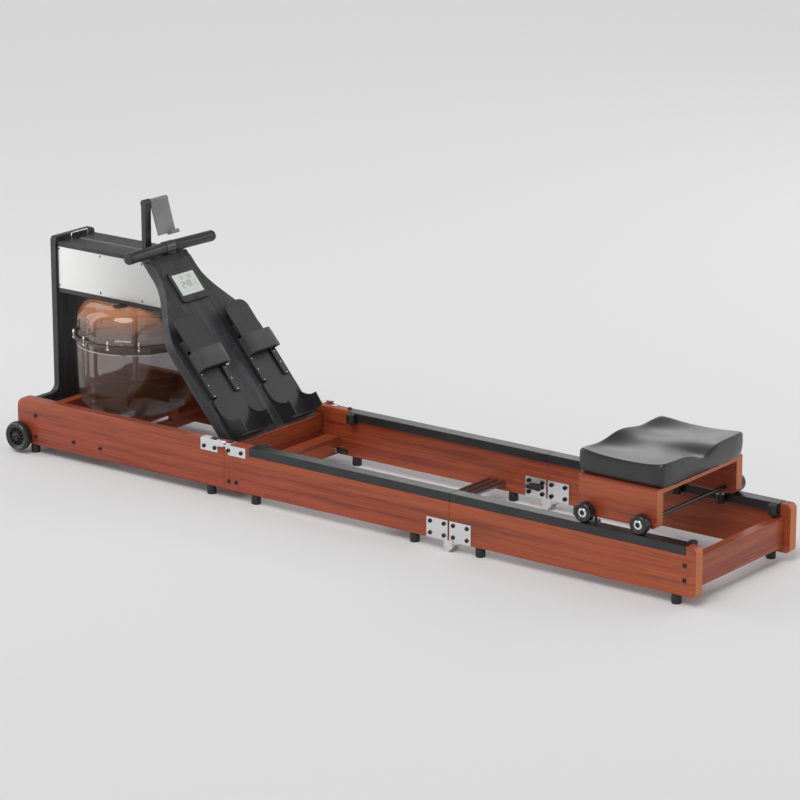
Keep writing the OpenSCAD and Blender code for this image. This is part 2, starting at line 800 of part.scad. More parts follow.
module tank_studs() {
    grip = flange_t + joint_gap / 2;
    color(steel) station() translate([tank_x, 0, 0]) stud_ring() {
        translate([0, 0, -grip - 6]) cylinder(r = stud_r, h = 2 * grip + 14, $fn = 24);
        translate([0, 0, grip]) cylinder(r = stud_r + 2, h = 4, $fn = 6);
        translate([0, 0, -grip - 4]) cylinder(r = stud_r + 2, h = 4, $fn = 6);
    }
}
module tank_cradle() {
    color(cherry) station() for (x = cradle_beams) {
        difference() {
            block([x - 10, -half_in, cradle_low], [x + 10, half_in, cradle_top]);
            both_sides() bolt_hole(x, (cradle_low + cradle_top) / 2, bolt_len + 1);
        }
        both_sides() block([x - 9, cradle_post_y, cradle_top], [x + 9, cradle_post_y + 20,
            tank_bottom_z]);
    }
}
module fill_plug() {
    color(dark) station() translate([tank_x, 0, dome_top]) rotate([0, 0, plug_turn])
        translate([plug_at, 0, 0]) {
        translate([0, 0, -10]) cylinder(r = plug_r - 3, h = 10.5);
        cylinder(r = plug_r, h = 0.7);
    }
}

// Impeller, its shaft and bearing
module impeller_shaft() {
    color(steel) station() translate([tank_x, 0, shaft_low]) cylinder(r = shaft_r,
        h = drum_z0 + 18 - shaft_low);
}
module impeller() {
    hub = shaft_r + 12;
    color(grey) station() translate([tank_x, 0, blade_z]) difference() {
        union() {
            cylinder(r = hub, h = blade_h);
            for (i = [0 : blade_count - 1]) rotate([0, 0, i * 360 / blade_count])
                translate([shaft_r + 6, -2, 3]) cube([blade_r - shaft_r - 6, 4, blade_h - 6]);
        }
        translate([0, 0, -1]) cylinder(r = shaft_r + fit / 2, h = blade_h + 2);
    }
}
module shaft_bearing() {
    color(grey) station() translate([tank_x, 0, dome_top - tank_wall - 4]) difference() {
        union() {
            cylinder(r = neck_r, h = shelf_top + 16 - dome_top + tank_wall);
            translate([0, 0, shelf_top - dome_top + tank_wall + 4]) cylinder(r = neck_r + 10, h = 6);
            cylinder(r = neck_r + 6, h = 4);
        }
        translate([0, 0, -1]) cylinder(r = shaft_r + fit, h = 80);
    }
}

// Flat recoil spring wound round the drum's sleeve
spring_turns = 5;
sleeve_r = shaft_r + 4;
spring_in = sleeve_r + slack;
spring_pitch = 3.6;
spring_t = 0.9;
spring_h = 12;
spring_z = shelf_top + 16;
function spiral(a, extra) = let (r = spring_in + extra + spring_pitch * a / 360) [r * cos(a), r * sin(a)];
module recoil_spring() {
    color(steel) station() translate([tank_x, 0, spring_z]) {
        linear_extrude(spring_h) polygon(concat(
            [for (a = [0 : 20 : spring_turns * 360]) spiral(a, 0)],
            [for (a = [spring_turns * 360 : -20 : 0]) spiral(a, spring_t)]));
        // Post that anchors the outer end of the spring on the shelf
        translate([spring_in + spring_pitch * spring_turns + spring_t + 2, 0, shelf_top - spring_z])
            cylinder(r = 3, h = spring_z - shelf_top + spring_h);
    }
}
module strap_drum() {
    color(grey) station() translate([tank_x, 0, drum_z0]) difference() {
        union() {
            cylinder(r = drum_core_r, h = drum_h);
            cylinder(r = wind_r + 6, h = drum_flange_t);
            translate([0, 0, drum_h - drum_flange_t]) cylinder(r = wind_r + 6, h = drum_flange_t);
            translate([0, 0, spring_z - drum_z0]) cylinder(r = sleeve_r, h = drum_z0 + 1 - spring_z);
        }
        translate([0, 0, -80]) cylinder(r = shaft_r + fit, h = 120);
    }
}

// Strap roller at the front of the deck, in a forked bracket with the chrome loop over the strap
roller_half = groove_w / 2 - slack;
module strap_roller() {
    color(grey) station() difference() {
        bar_y(roller_x, roller_z, roller_r, -roller_half, roller_half);
        bar_y(roller_x, roller_z, roller_pin_r + fit, -roller_half - 1, roller_half + 1);
    }
}
module strap_guide() {
    loop_half = 30;
    loop_top = deck_top + 18;
    wire = 2;
    color(steel) station() {
        both_sides() translate([roller_x - 5, loop_half, deck_top]) cylinder(r = wire,
            h = loop_top - deck_top - 6);
        both_sides() translate([roller_x - 5, loop_half - 6, loop_top - 6]) rotate([90, 0, 90])
            rotate_extrude(angle = 90, $fn = 32) translate([6, 0]) circle(r = wire, $fn = 24);
        bar_y(roller_x - 5, loop_top, wire, -loop_half + 6, loop_half - 6);
        // Pin and side cheeks that carry the roller under the deck
        bar_y(roller_x, roller_z, roller_pin_r, -pin_half, pin_half);
        both_sides() block([roller_x - 7, groove_w / 2 + 0.5, roller_z - 7],
            [roller_x + 7, groove_w / 2 + 3.5, deck_low]);
    }
}

// Pull strap: along the deck, round the roller, and twisted on edge to the drum
module pull_strap() {
    inner_x = tank_x - roller_x;
    aim = asin(wind_r / inner_x);
    run = sqrt(inner_x * inner_x - wind_r * wind_r);
    twisted = run * 0.6;
    color(dark) station() {
        block([roller_x, -strap_w / 2, strap_low_z],
            [handle_x - clamp_half + 9, strap_w / 2, strap_low_z + strap_t]);
        translate([roller_x, strap_w / 2, roller_z]) rotate([90, 0, 0]) rotate([0, 0, 90])
            rotate_extrude(angle = 180) translate([wrap_r, 0]) square([strap_t, strap_w]);
        translate([roller_x, 0, strap_run_z]) rotate([0, 0, aim])
            translate([-2, -strap_w / 2, -strap_t / 2]) cube([strap_lead + 3, strap_w, strap_t]);
        translate([roller_x, 0, strap_run_z]) rotate([0, 90, aim]) translate([0, 0, strap_lead])
            linear_extrude(twisted - strap_lead, twist = 90, slices = 14)
                square([strap_t, strap_w], center = true);
        translate([roller_x, 0, strap_run_z]) rotate([0, 0, aim])
            translate([twisted - 1, -strap_t / 2, -strap_w / 2]) cube([run - twisted + 1, strap_t,
                strap_w]);
        // Turns wound on the drum
        translate([tank_x, 0, strap_run_z - strap_w / 2]) difference() {
            cylinder(r = wind_r + strap_t / 4, h = strap_w);
            translate([0, 0, -1]) cylinder(r = drum_core_r + 0.1, h = strap_w + 2);
        }
    }
}

// Handle
module half_bar(r, from, to) {
    translate([handle_x, 0, handle_z]) rotate([0, 0, -handle_bend]) bar_y(0, 0, r, from, to);
}
module handle_bar() {
    color(grey) station() {
        both_sides() half_bar(handle_core_d / 2, 0, handle_half - 3);
        bar_y(handle_x, handle_z, grip_d / 2 + 1, -clamp_half, clamp_half);
        block([handle_x - clamp_half, -strap_w / 2, strap_low_z + strap_t],
            [handle_x - 6, strap_w / 2, handle_z]);
    }
}
module handle_grips() {
    color(dark) station() both_sides() difference() {
        half_bar(grip_d / 2, clamp_half + 2, handle_half);
        half_bar(handle_core_d / 2 + 0.1, 0, handle_half - 3);
    }
}

// Phone holder
module phone_post() {
    y0 = phone_post_y - phone_post_w / 2;
    y1 = y0 + phone_post_w;
    color(dark) station() {
        block([phone_x - 7, y0, deck_top], [phone_x + 7, y1, phone_z]);
        block([phone_x - 16, y0 - 4, deck_top], [phone_x + 16, y1 + 3, deck_top + 4]);
        bar_y(phone_x, phone_z, phone_bar_r + 3, y0, y1);
        bar_y(phone_x, phone_z, phone_bar_r - 2, y1 - 1, phone_tab_y + 1);
    }
}
module phone_plate() {
    y0 = phone_post_y + phone_post_w / 2 + slack;
    y1 = y0 + phone_plate_w;
    color(dark) station() translate([phone_x, 0, phone_z]) rotate([0, -phone_lean, 0]) difference() {
        union() {
            bar_y(0, 0, phone_bar_r + 1, y0, min(y1, phone_tab_y));
            block([2, y0, -phone_plate_len], [6, y1, 3]);
            block([2, y0 + 36, -phone_plate_len - 4], [20, y1 - 2, -phone_plate_len]);
            block([16, y0 + 36, -phone_plate_len - 4], [20, y1 - 2, -phone_plate_len + 6]);
        }
        bar_y(0, 0, phone_bar_r - 2 + fit, y0 - 1, y1 + 1);
    }
}

// Mid section
mid_feet_x = [mid_start + foot_inset_mid, mid_end - foot_inset_seam];
mid_leaf_from = front_pivot_x + ear_r + 1;
mid_leaf_bolts = [[mid_leaf_from + 9, leaf_low + front_leaf_h / 2 - 1],
    [mid_leaf_from + mid_leaf_len - 14, leaf_low + front_leaf_h / 2 - 1]];
rear_leaf_gap = 2.5;
mid_plate_from = rear_pivot_x - rear_leaf_gap - rear_leaf_len;
rear_plate_from = rear_pivot_x + rear_leaf_gap;
function plate_bolts(x0) =
    [for (x = [11, rear_leaf_len - 11], z = [12, rear_leaf_h - 10]) [x0 + x, rear_leaf_low + z]];

module latch_hole() { bar_y(latch_x, latch_z, latch_pin_r + fit, half_in - plate_t - 1, half_in + 10); }
module mid_rails() {
    color(cherry) station() difference() {
        both_sides() difference() {
            board_at(half_in, rail_thick) polygon([[mid_start, rail_low], [mid_start, rail_top],
                [mid_track_from, rail_top], [mid_track_from, rail_low_edge], [mid_end, rail_low_edge],
                [mid_end, rail_low]]);
            for (b = mid_bolts_at) bolt_hole(b[0], b[1], rail_thick + 1);
            for (b = mid_leaf_bolts) bolt_hole(b[0], b[1], 20);
            for (b = plate_bolts(mid_plate_from)) bolt_hole(b[0], b[1], rail_thick + 1);
            for (x = mid_feet_x) foot_hole(x);
        }
        latch_hole();
    }
}
module mid_cross_board() {
    color(cherry) station() difference() {
        block([low_board_x, -half_in, low_board_z],
            [low_board_x + low_board_w, half_in, low_board_z + low_board_h]);
        both_sides() for (b = mid_bolts_at) bolt_hole(b[0], b[1], bolt_len + 1);
    }
}

// Track profile in y and z: a cap with an inner lip and a shallow running groove
module track(x0, x1) {
    translate([x0, 0, 0]) rotate([90, 0, 90]) linear_extrude(x1 - x0) polygon([
        [half_out, rail_low_edge], [half_out, rail_top - 1], [half_out - 1, rail_top],
        [board_out_y + 1, rail_top], [board_out_y, rail_top - 1], [board_out_y, rail_low_edge]]);
}
module mid_tracks() { color(dark) station() both_sides() track(mid_track_from, mid_end); }

module cross_plate() {
    rib = cross_plate_w / 10;
    top = cross_plate_z + cross_plate_t;
    color(grey) station() translate([cross_plate_x, 0, 0]) {
        block([0, -half_in, cross_plate_z], [cross_plate_w, half_in, top]);
        for (i = [1, 4.5, 8]) block([i * rib, -half_in, top - 0.5], [(i + 1) * rib, half_in, top + 3]);
    }
}

// Bolt through the rail and both hinge plates
module through_bolt(x, z) {
    side_bolt(x, z, plate_out, rail_thick + 2 * plate_t + 1);
    bar_y(x, z, bolt_head_d / 2, half_in - plate_t - bolt_head_h, half_in - plate_t);
}
module mid_bolts() {
    color(dark) station() both_sides() {
        for (b = mid_bolts_at) side_bolt(b[0], b[1], half_out, bolt_len);
        for (b = mid_leaf_bolts) side_bolt(b[0], b[1], plate_out, 20);
        for (b = plate_bolts(mid_plate_from)) through_bolt(b[0], b[1]);
    }
    color(dark) station() translate([mid_track_from - 12, rail_mid_y, rail_top]) cylinder(r = 6, h = 5);
}

// End stop standing beside the track, with a bracket to the rail's inner face
module end_stop(x) {
    translate([x, stop_y, rail_low_edge - 1]) cylinder(r = stop_r, h = track_h + 1);
    block([x - stop_r, stop_y - 2, rail_low_edge - 6], [x + stop_r, half_in, rail_low_edge - 1]);
}
module mid_feet() {
    color(dark) station() both_sides() {
        for (x = mid_feet_x) foot(x);
        end_stop(front_stop_x);
    }
}

// Steel leaves of the mid section at both hinges
module mid_hinges() {
    color(steel) station() {
        both_sides() difference() {
            union() {
                board_at(half_out, plate_t) polygon([[mid_leaf_from, leaf_low + 12],
                    [mid_leaf_from + 10, leaf_low],
                    [mid_leaf_from + mid_leaf_len, leaf_low], [mid_leaf_from + mid_leaf_len,
                        rail_top - 3],
                    [mid_leaf_from, rail_top - 3]]);
                bar_y(front_pivot_x, front_pivot_z, ear_r, plate_out + ear_gap, ear_out);
                block([front_pivot_x, plate_out + ear_gap, rail_top - 8], [mid_leaf_from + 6,
                    ear_out, rail_top - 3]);
                block([mid_leaf_from, plate_out - 0.5, rail_top - 8], [mid_leaf_from + 6, ear_out,
                    rail_top - 3]);
                block([mid_leaf_from, half_out - 18, rail_top], [mid_leaf_from + 16, plate_out,
                    rail_top + tab_t]);
                block([mid_leaf_from, half_out, rail_top - 4], [mid_leaf_from + 16, plate_out,
                    rail_top + tab_t]);
            }
            bar_y(front_pivot_x, front_pivot_z, hinge_pin_d / 2 + fit, half_out, ear_out + 1);
            for (b = mid_leaf_bolts) leaf_hole(b[0], b[1]);
        }
        difference() {
            both_sides() rear_leaf(mid_plate_from, plate_bolts(mid_plate_from), -1, 0);
            latch_hole();
        }
        // Lugs that carry the release pedal
        for (y = [pedal_y - 12, pedal_y + 9]) difference() {
            block([low_board_x + low_board_w, y, pedal_z - 6], [pedal_x + 6, y + 3, pedal_z + 6]);
            bar_y(pedal_x, pedal_z, 2 + fit, y - 1, y + 4);
        }
    }
}
// Pair of hinge plates on both faces of a rail
// Ears of layer 0 lie in the plate's plane, those of layer 1 lie over them
module rear_leaf(x0, bolts, toward, layer) {
    shift = layer * (plate_t + ear_gap);
    arm = toward < 0 ? rear_pivot_x - arm_w : rear_pivot_x;
    for (face = [half_out, half_in - plate_t]) {
        way = face > rail_mid_y ? 1 : -1;
        step = way * shift;
        pin_step = way * (plate_t + ear_gap + 1);
        y = face + step;
        difference() {
            union() {
                block([x0, face, rear_leaf_low],
                    [x0 + rear_leaf_len, face + plate_t, rear_leaf_low + rear_leaf_h]);
                bar_y(rear_pivot_x, rear_pivot_z, rear_ear_r, y, y + plate_t);
                block([arm, y, rear_pivot_z],
                    [arm + arm_w, y + plate_t, rear_leaf_low + (layer == 0 ? 1 : arm_lap)]);
                if (layer == 1) block([rear_plate_from, min(y, face) + 0.5, rear_leaf_low],
                    [rear_pivot_x + arm_w, max(y, face) + plate_t - 0.5, rear_leaf_low + arm_lap]);
                if (layer == 0) bar_y(rear_pivot_x, rear_pivot_z, hinge_pin_d / 2,
                    min(face, face + pin_step), max(face, face + pin_step) + plate_t);
            }
            if (layer == 1) bar_y(rear_pivot_x, rear_pivot_z, hinge_pin_d / 2 + fit, y - 1,
                y + plate_t + 1);
            for (b = bolts) bar_y(b[0], b[1], bolt_r + hole_gap, face - 1, face + plate_t + 1);
        }
    }
}

module release_pedal() {
    color(dark) station() {
        bar_y(pedal_x, pedal_z, 2, pedal_y - 12, pedal_y + 12);
        bar_y(pedal_x, pedal_z, 5, pedal_y - 9 + slack, pedal_y + 9 - slack);
        block([pedal_x, pedal_y - 8, pedal_z - 4], [pedal_x + 16, pedal_y + 8, pedal_z]);
        for (x = [14, 22]) translate([pedal_x + x, pedal_y, pedal_z - 6]) cylinder(r = 11, h = 7);
        block([pedal_x + 14, pedal_y - 11, pedal_z - 6], [pedal_x + 22, pedal_y + 11, pedal_z + 1]);
    }
}

// Latch lever on a pin in the far mid rail
module seam_latch() {
    color(dark) station() {
        bar_y(latch_x, latch_z, latch_pin_r, latch_out_y - 1, half_in + 8);
        bar_y(latch_x, latch_z, latch_pin_r + 2, latch_out_y - 1, half_in - plate_t - slack);
        translate([latch_x, 0, latch_z]) board_at(latch_out_y - latch_t, latch_t)
            polygon([[-34, -4], [6, -6], [8, 5], [-6, 7], [-34, 5]]);
    }
}

// Rear section
rear_feet_x = [rear_start + foot_inset_rear, rear_end - foot_inset_end - 11];
module rear_rails() {
    color(cherry) station() both_sides() difference() {
        board_at(half_in, rail_thick) polygon(concat(
            [[rear_start, rail_low], [rear_start, rail_low_edge], [rear_track_to, rail_low_edge],
                [rear_track_to, rail_top]],
            arc(rear_end - rear_round, rail_top - rear_round, rear_round, 90, 0),
            arc(rear_end - rear_round, rail_low + rear_round, rear_round, 0, -90)));
        for (z = rear_bolt_z) bolt_hole(cross_back - cross_thick / 2, z, rail_thick + 1);
        for (b = plate_bolts(rear_plate_from)) bolt_hole(b[0], b[1], rail_thick + 1);
        for (x = rear_feet_x) foot_hole(x);
    }
}
module rear_cross_board() {
    color(cherry) station() difference() {
        block([cross_back - cross_thick, -half_in, rear_board_low], [cross_back, half_in,
            rear_board_top]);
        both_sides() for (z = rear_bolt_z) bolt_hole(cross_back - cross_thick / 2, z, bolt_len + 1);
    }
}
track_screw_x = rear_track_to - 51;
module rear_tracks() {
    color(dark) station() both_sides() difference() {
        track(rear_start, rear_track_to);
        translate([track_screw_x, rail_mid_y, rail_top - 4]) cylinder(r = 5, h = 5);
    }
}
module rear_bolts() {
    color(dark) station() both_sides() {
        for (z = rear_bolt_z) side_bolt(cross_back - cross_thick / 2, z, half_out, bolt_len);
        for (b = plate_bolts(rear_plate_from)) through_bolt(b[0], b[1]);
        translate([track_screw_x, rail_mid_y, rail_top - 4]) difference() {
            cylinder(r = 5 - hole_gap, h = 3.5);
            translate([0, 0, 1.5]) cylinder(r = 2.5, h = 3, $fn = 6);
        }
    }
}
module rear_feet() {
    color(dark) station() both_sides() {
        for (x = rear_feet_x) foot(x);
        end_stop(rear_stop_x);
    }
}
module rear_hinges() {
    color(steel) station() both_sides() rear_leaf(rear_plate_from, plate_bolts(rear_plate_from), 1, 1);
}

// Seat pad: crowned saddle on a rounded outline, with drawn-in sides
pad_steps = 56;
pad_rings = 12;
corner_power = 20;
function pad_edge(a) =
    let (k = pow(pow(abs(cos(a)), corner_power) + pow(abs(sin(a)), corner_power), -1 / corner_power))
    [pad_len / 2 * k * cos(a), pad_w / 2 * k * sin(a)];
function pad_rise(s, t) = pad_h - 12 * (1 - pow(s, 4)) * (1 - pow(t, 4)) - 9 * (1 - s * s) * pow(t, 4)
    - 7 * pow(sin(180 * t), 2) * pow((1 - s) / 2, 2) + 5 * exp(-pow(t / 0.35, 2)) * pow((1 - s) / 2, 2)
    - 24 * exp(-pow(t / 0.26, 2)) * pow((1 + s) / 2, 3);
function pad_point(a, k, z) = let (e = pad_edge(a)) [e[0] * k, e[1] * k,
    z < 0 ? pad_rise(2 * e[0] * k / pad_len, 2 * e[1] * k / pad_w) + z + 1 : z];
module seat_pad() {
    // Each ring is a share of the outline and a height; -1 stands for the saddle's own height
    rings = concat([[0.965, 0], [0.985, 10], [1, 26], [0.995, -8], [0.975, -2.5]],
        [for (i = [0 : pad_rings - 1]) [0.95 * (1 - i / pad_rings), -1]]);
    around = [0 : pad_steps - 1];
    points = concat([[0, 0, 0]], [for (r = rings, j = around) pad_point(j * 360 / pad_steps, r[0], r[1])],
        [[0, 0, pad_rise(0, 0)]]);
    last = len(points) - 1;
    steps = [for (i = [0 : len(rings) - 2], j = around) [1 + i * pad_steps, j, (j + 1) % pad_steps]];
    faces = concat(
        [for (j = around) [0, 1 + j, 1 + (j + 1) % pad_steps]],
        [for (q = steps) [q[0] + q[1], q[0] + pad_steps + q[1], q[0] + q[2]]],
        [for (q = steps) [q[0] + q[2], q[0] + pad_steps + q[1], q[0] + pad_steps + q[2]]],
        [for (j = around) [last - pad_steps + j, last, last - pad_steps + (j + 1) % pad_steps]]);
    color(dark) station() translate([seat_x, 0, board_top_z + slack]) polyhedron(points, faces);
}

// Side boards and the ply base that carries the pad
seat_axle_x = [seat_x - axle_span / 2, seat_x + axle_span / 2];
module seat_boards() {
    half = side_board_len / 2;
    ply = 12;
    corner = 14;
    color(cherry) station() {
        both_sides() difference() {
            board_at(board_in_y, side_board_t) polygon(concat(
                [[seat_x - half, board_top_z]],
                arc(seat_x - half + corner, board_low_z + corner, corner, 180, 270),
                arc(seat_x + half - corner, board_low_z + corner, corner, 270, 360),
                [[seat_x + half, board_top_z]]));
            for (x = seat_axle_x) bar_y(x, axle_z, axle_r + fit, board_in_y - 1, half_out);
            for (x = guide_x) translate([x, guide_y, board_low_z - 1])
                cylinder(r = guide_pin_r + hole_gap, h = 15);
        }
        block([seat_x - half, -board_in_y, board_top_z - ply], [seat_x + half, board_in_y, board_top_z]);
        for (x = guide_x) both_sides() translate([x, guide_y, guide_z0 - 3]) {
            cylinder(r = guide_pin_r, h = board_low_z + 12 - guide_z0);
            cylinder(r = guide_pin_r + 3, h = 3 - slack);
        }
    }
}
module roller_pair(x, tint) {
    color(tint) station() {
        bar_y(x, axle_z, axle_r, -roller_in_y - roller_w, roller_in_y + roller_w);
        both_sides() difference() {
            union() {
                bar_y(x, axle_z, roller_rad, roller_in_y, roller_in_y + roller_w);
                bar_y(x, axle_z, axle_r + 4, board_out_y + 0.2, roller_in_y + 1);
            }
            difference() {
                bar_y(x, axle_z, roller_rad - 7, roller_in_y + roller_w - 2, roller_in_y + roller_w + 1);
                bar_y(x, axle_z, axle_r + 3, roller_in_y + roller_w - 3, roller_in_y + roller_w + 1);
            }
        }
    }
}
module front_rollers() { roller_pair(seat_axle_x[0], dark); }
module rear_rollers() { roller_pair(seat_axle_x[1], dark); }
module guide_roller(x, side) {
    color(grey) station() translate([x, side * guide_y, guide_z0]) difference() {
        cylinder(r = guide_r, h = guide_h2);
        translate([0, 0, -1]) cylinder(r = guide_pin_r + fit, h = guide_h2 + 2);
    }
}
module guide_roller_front_left() { guide_roller(guide_x[0], -1); }
module guide_roller_front_right() { guide_roller(guide_x[0], 1); }
module guide_roller_rear_left() { guide_roller(guide_x[1], -1); }
module guide_roller_rear_right() { guide_roller(guide_x[1], 1); }

front_rails();
front_cross_boards();
front_board();
tower_shelves();
side_panels();
footboard();
console_case();
console_screen();
console_button();
toe_plates();
left_heel_plate();
right_heel_plate();
foot_straps();
strap_buckles();
front_bolts();
front_feet();
front_hinges();
left_wheel();
right_wheel();
tank_bowl();
tank_dome();
tank_gasket();
tank_studs();
tank_cradle();
fill_plug();
impeller_shaft();
impeller();
shaft_bearing();
recoil_spring();
strap_drum();
strap_roller();
strap_guide();
pull_strap();
handle_bar();
handle_grips();
phone_post();
phone_plate();
mid_rails();
mid_cross_board();
mid_tracks();
cross_plate();
mid_bolts();
mid_feet();
mid_hinges();
release_pedal();
seam_latch();
rear_rails();
rear_cross_board();
rear_tracks();
rear_bolts();
rear_feet();
rear_hinges();
seat_pad();
seat_boards();
front_rollers();
rear_rollers();
guide_roller_front_left();
guide_roller_front_right();
guide_roller_rear_left();
guide_roller_rear_right();
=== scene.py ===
"""Looks of a folding water rowing machine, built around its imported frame: boards, metalwork, water tank,
foot rests, handle, seat and a plain studio. Every length is in metres, in the frame's own coordinates."""

import json
import math

import bmesh
import bpy
from bpy.props import FloatProperty, FloatVectorProperty, IntProperty, PointerProperty
from mathutils import Matrix, Vector

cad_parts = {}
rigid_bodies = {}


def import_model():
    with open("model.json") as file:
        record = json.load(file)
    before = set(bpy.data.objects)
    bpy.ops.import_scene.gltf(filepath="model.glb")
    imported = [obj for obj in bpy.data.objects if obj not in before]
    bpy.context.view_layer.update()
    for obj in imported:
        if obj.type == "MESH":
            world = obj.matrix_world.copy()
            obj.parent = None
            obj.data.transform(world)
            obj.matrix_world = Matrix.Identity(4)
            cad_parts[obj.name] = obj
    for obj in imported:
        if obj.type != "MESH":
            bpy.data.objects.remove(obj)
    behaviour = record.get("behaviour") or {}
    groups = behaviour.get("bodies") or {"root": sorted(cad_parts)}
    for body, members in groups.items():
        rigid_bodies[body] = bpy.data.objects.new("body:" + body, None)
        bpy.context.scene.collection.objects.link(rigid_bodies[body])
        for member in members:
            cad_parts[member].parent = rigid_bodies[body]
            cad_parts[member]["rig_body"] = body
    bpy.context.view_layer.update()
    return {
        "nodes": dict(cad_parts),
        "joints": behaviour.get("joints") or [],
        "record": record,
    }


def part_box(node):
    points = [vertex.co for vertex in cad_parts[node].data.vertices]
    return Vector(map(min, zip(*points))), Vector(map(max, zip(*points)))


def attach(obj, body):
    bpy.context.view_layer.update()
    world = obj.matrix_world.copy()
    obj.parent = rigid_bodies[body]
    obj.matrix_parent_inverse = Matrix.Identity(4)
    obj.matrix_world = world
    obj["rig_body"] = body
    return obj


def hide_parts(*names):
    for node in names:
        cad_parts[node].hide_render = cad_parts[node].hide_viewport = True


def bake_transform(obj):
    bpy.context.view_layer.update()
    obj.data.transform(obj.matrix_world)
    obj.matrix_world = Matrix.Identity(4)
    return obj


bl_info = {
    "name": "Water Rowing Machine",
    "version": (1, 0, 0),
    "blender": (4, 5, 0),
    "location": "View3D > Sidebar > Rower",
    "description": "Dresses the packed frame of a folding water rowing machine",
    "category": "Add Mesh",
}

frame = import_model()

MM = 0.001
WELD = 0.000002
UP = Vector((0, 0, 1))
ACROSS = Vector((0, 1, 0))
SLOTS = {part["node"]: part["material_slot"] for part in frame["record"]["subparts"]}
BODIES = {node: body for body, nodes in frame["record"]["behaviour"]["bodies"].items() for node in nodes}
JOINTS = {joint["name"]: joint for joint in frame["joints"]}


class RowerSizes(bpy.types.PropertyGroup):
    """Sizes of the finishing work that a user would change."""

    board_edge: FloatProperty(
        name="Board edges", description="Rounding along the edges of the wooden boards",
        default=0.0022, min=0.0, unit="LENGTH")
    metal_edge: FloatProperty(
        name="Metal edges", description="Broken edge of plates and brackets",
        default=0.0005, min=0.0, unit="LENGTH")
    plastic_edge: FloatProperty(
        name="Plastic edges", description="Rounding of moulded plastic",
        default=0.001, min=0.0, unit="LENGTH")
    tank_wall: FloatProperty(
        name="Tank wall", description="Thickness of the tank's clear wall",
        default=0.004, min=0.001, unit="LENGTH")
    bowl_round: FloatProperty(
        name="Bowl corner", description="Radius of the corner round the tank's bottom",
        default=0.055, min=0.01, unit="LENGTH")
    dome_round: FloatProperty(
        name="Dome shoulder", description="Radius of the dome's shoulder",
        default=0.052, min=0.01, unit="LENGTH")
    lobe_depth: FloatProperty(
        name="Lobe depth", description="How far the arched panels of the dome stand back",
        default=0.0045, min=0.0, unit="LENGTH")
    lobe_count: IntProperty(
        name="Lobes", description="Number of arched panels round the dome", default=8, min=3)
    spoke_count: IntProperty(
        name="Spokes", description="Number of spokes in a transport wheel", default=12, min=3)
    tyre_crown: FloatProperty(
        name="Tyre crown", description="How far the middle of a transport tyre stands proud",
        default=0.003, min=0.0, unit="LENGTH")
    water_level: FloatProperty(
        name="Water level", description="Height of the water above the floor",
        default=0.279, min=0.12, unit="LENGTH")


class RowerFinishes(bpy.types.PropertyGroup):
    """Colours that a user would change."""

    cherry: FloatVectorProperty(
        name="Cherry", description="Main colour of the lacquered boards",
        default=(0.345, 0.059, 0.024), subtype="COLOR", min=0.0, max=1.0)
    cherry_streak: FloatVectorProperty(
        name="Cherry streaks", description="Colour of the darker grain in the boards",
        default=(0.125, 0.022, 0.010), subtype="COLOR", min=0.0, max=1.0)
    cherry_end: FloatVectorProperty(
        name="Cherry ends", description="Colour of the boards' end grain and edges",
        default=(0.60, 0.17, 0.038), subtype="COLOR", min=0.0, max=1.0)
    black_wood: FloatVectorProperty(
        name="Black wood", description="Colour of the black stained boards",
        default=(0.026, 0.026, 0.028), subtype="COLOR", min=0.0, max=1.0)
    panel: FloatVectorProperty(
        name="Side panel", description="Colour of the satin metal side panels",
        default=(0.50, 0.50, 0.495), subtype="COLOR", min=0.0, max=1.0)
    tank: FloatVectorProperty(
        name="Tank tint", description="Tint of the clear tank",
        default=(0.36, 0.135, 0.055), subtype="COLOR", min=0.0, max=1.0)
    screen: FloatVectorProperty(
        name="Screen", description="Colour of the unlit display",
        default=(0.60, 0.65, 0.59), subtype="COLOR", min=0.0, max=1.0)
    backdrop: FloatVectorProperty(
        name="Backdrop", description="Colour of the floor and backdrop",
        default=(0.72, 0.72, 0.72), subtype="COLOR", min=0.0, max=1.0)


# Shader helpers

class Sock:
    """A shader socket that adds Math nodes when it is used in an expression."""

    def __init__(self, paint, socket):
        self.paint = paint
        self.socket = socket

    def maths(self, operation, first, second=0.0):
        return self.paint.node("ShaderNodeMath", {"operation": operation}, {0: first, 1: second})

    def __add__(self, other):
        return self.maths("ADD", self, other)

    def __radd__(self, other):
        return self.maths("ADD", other, self)

    def __rsub__(self, other):
        return self.maths("SUBTRACT", other, self)

    def __mul__(self, other):
        return self.maths("MULTIPLY", self, other)

    def __abs__(self):
        return self.maths("ABSOLUTE", self)


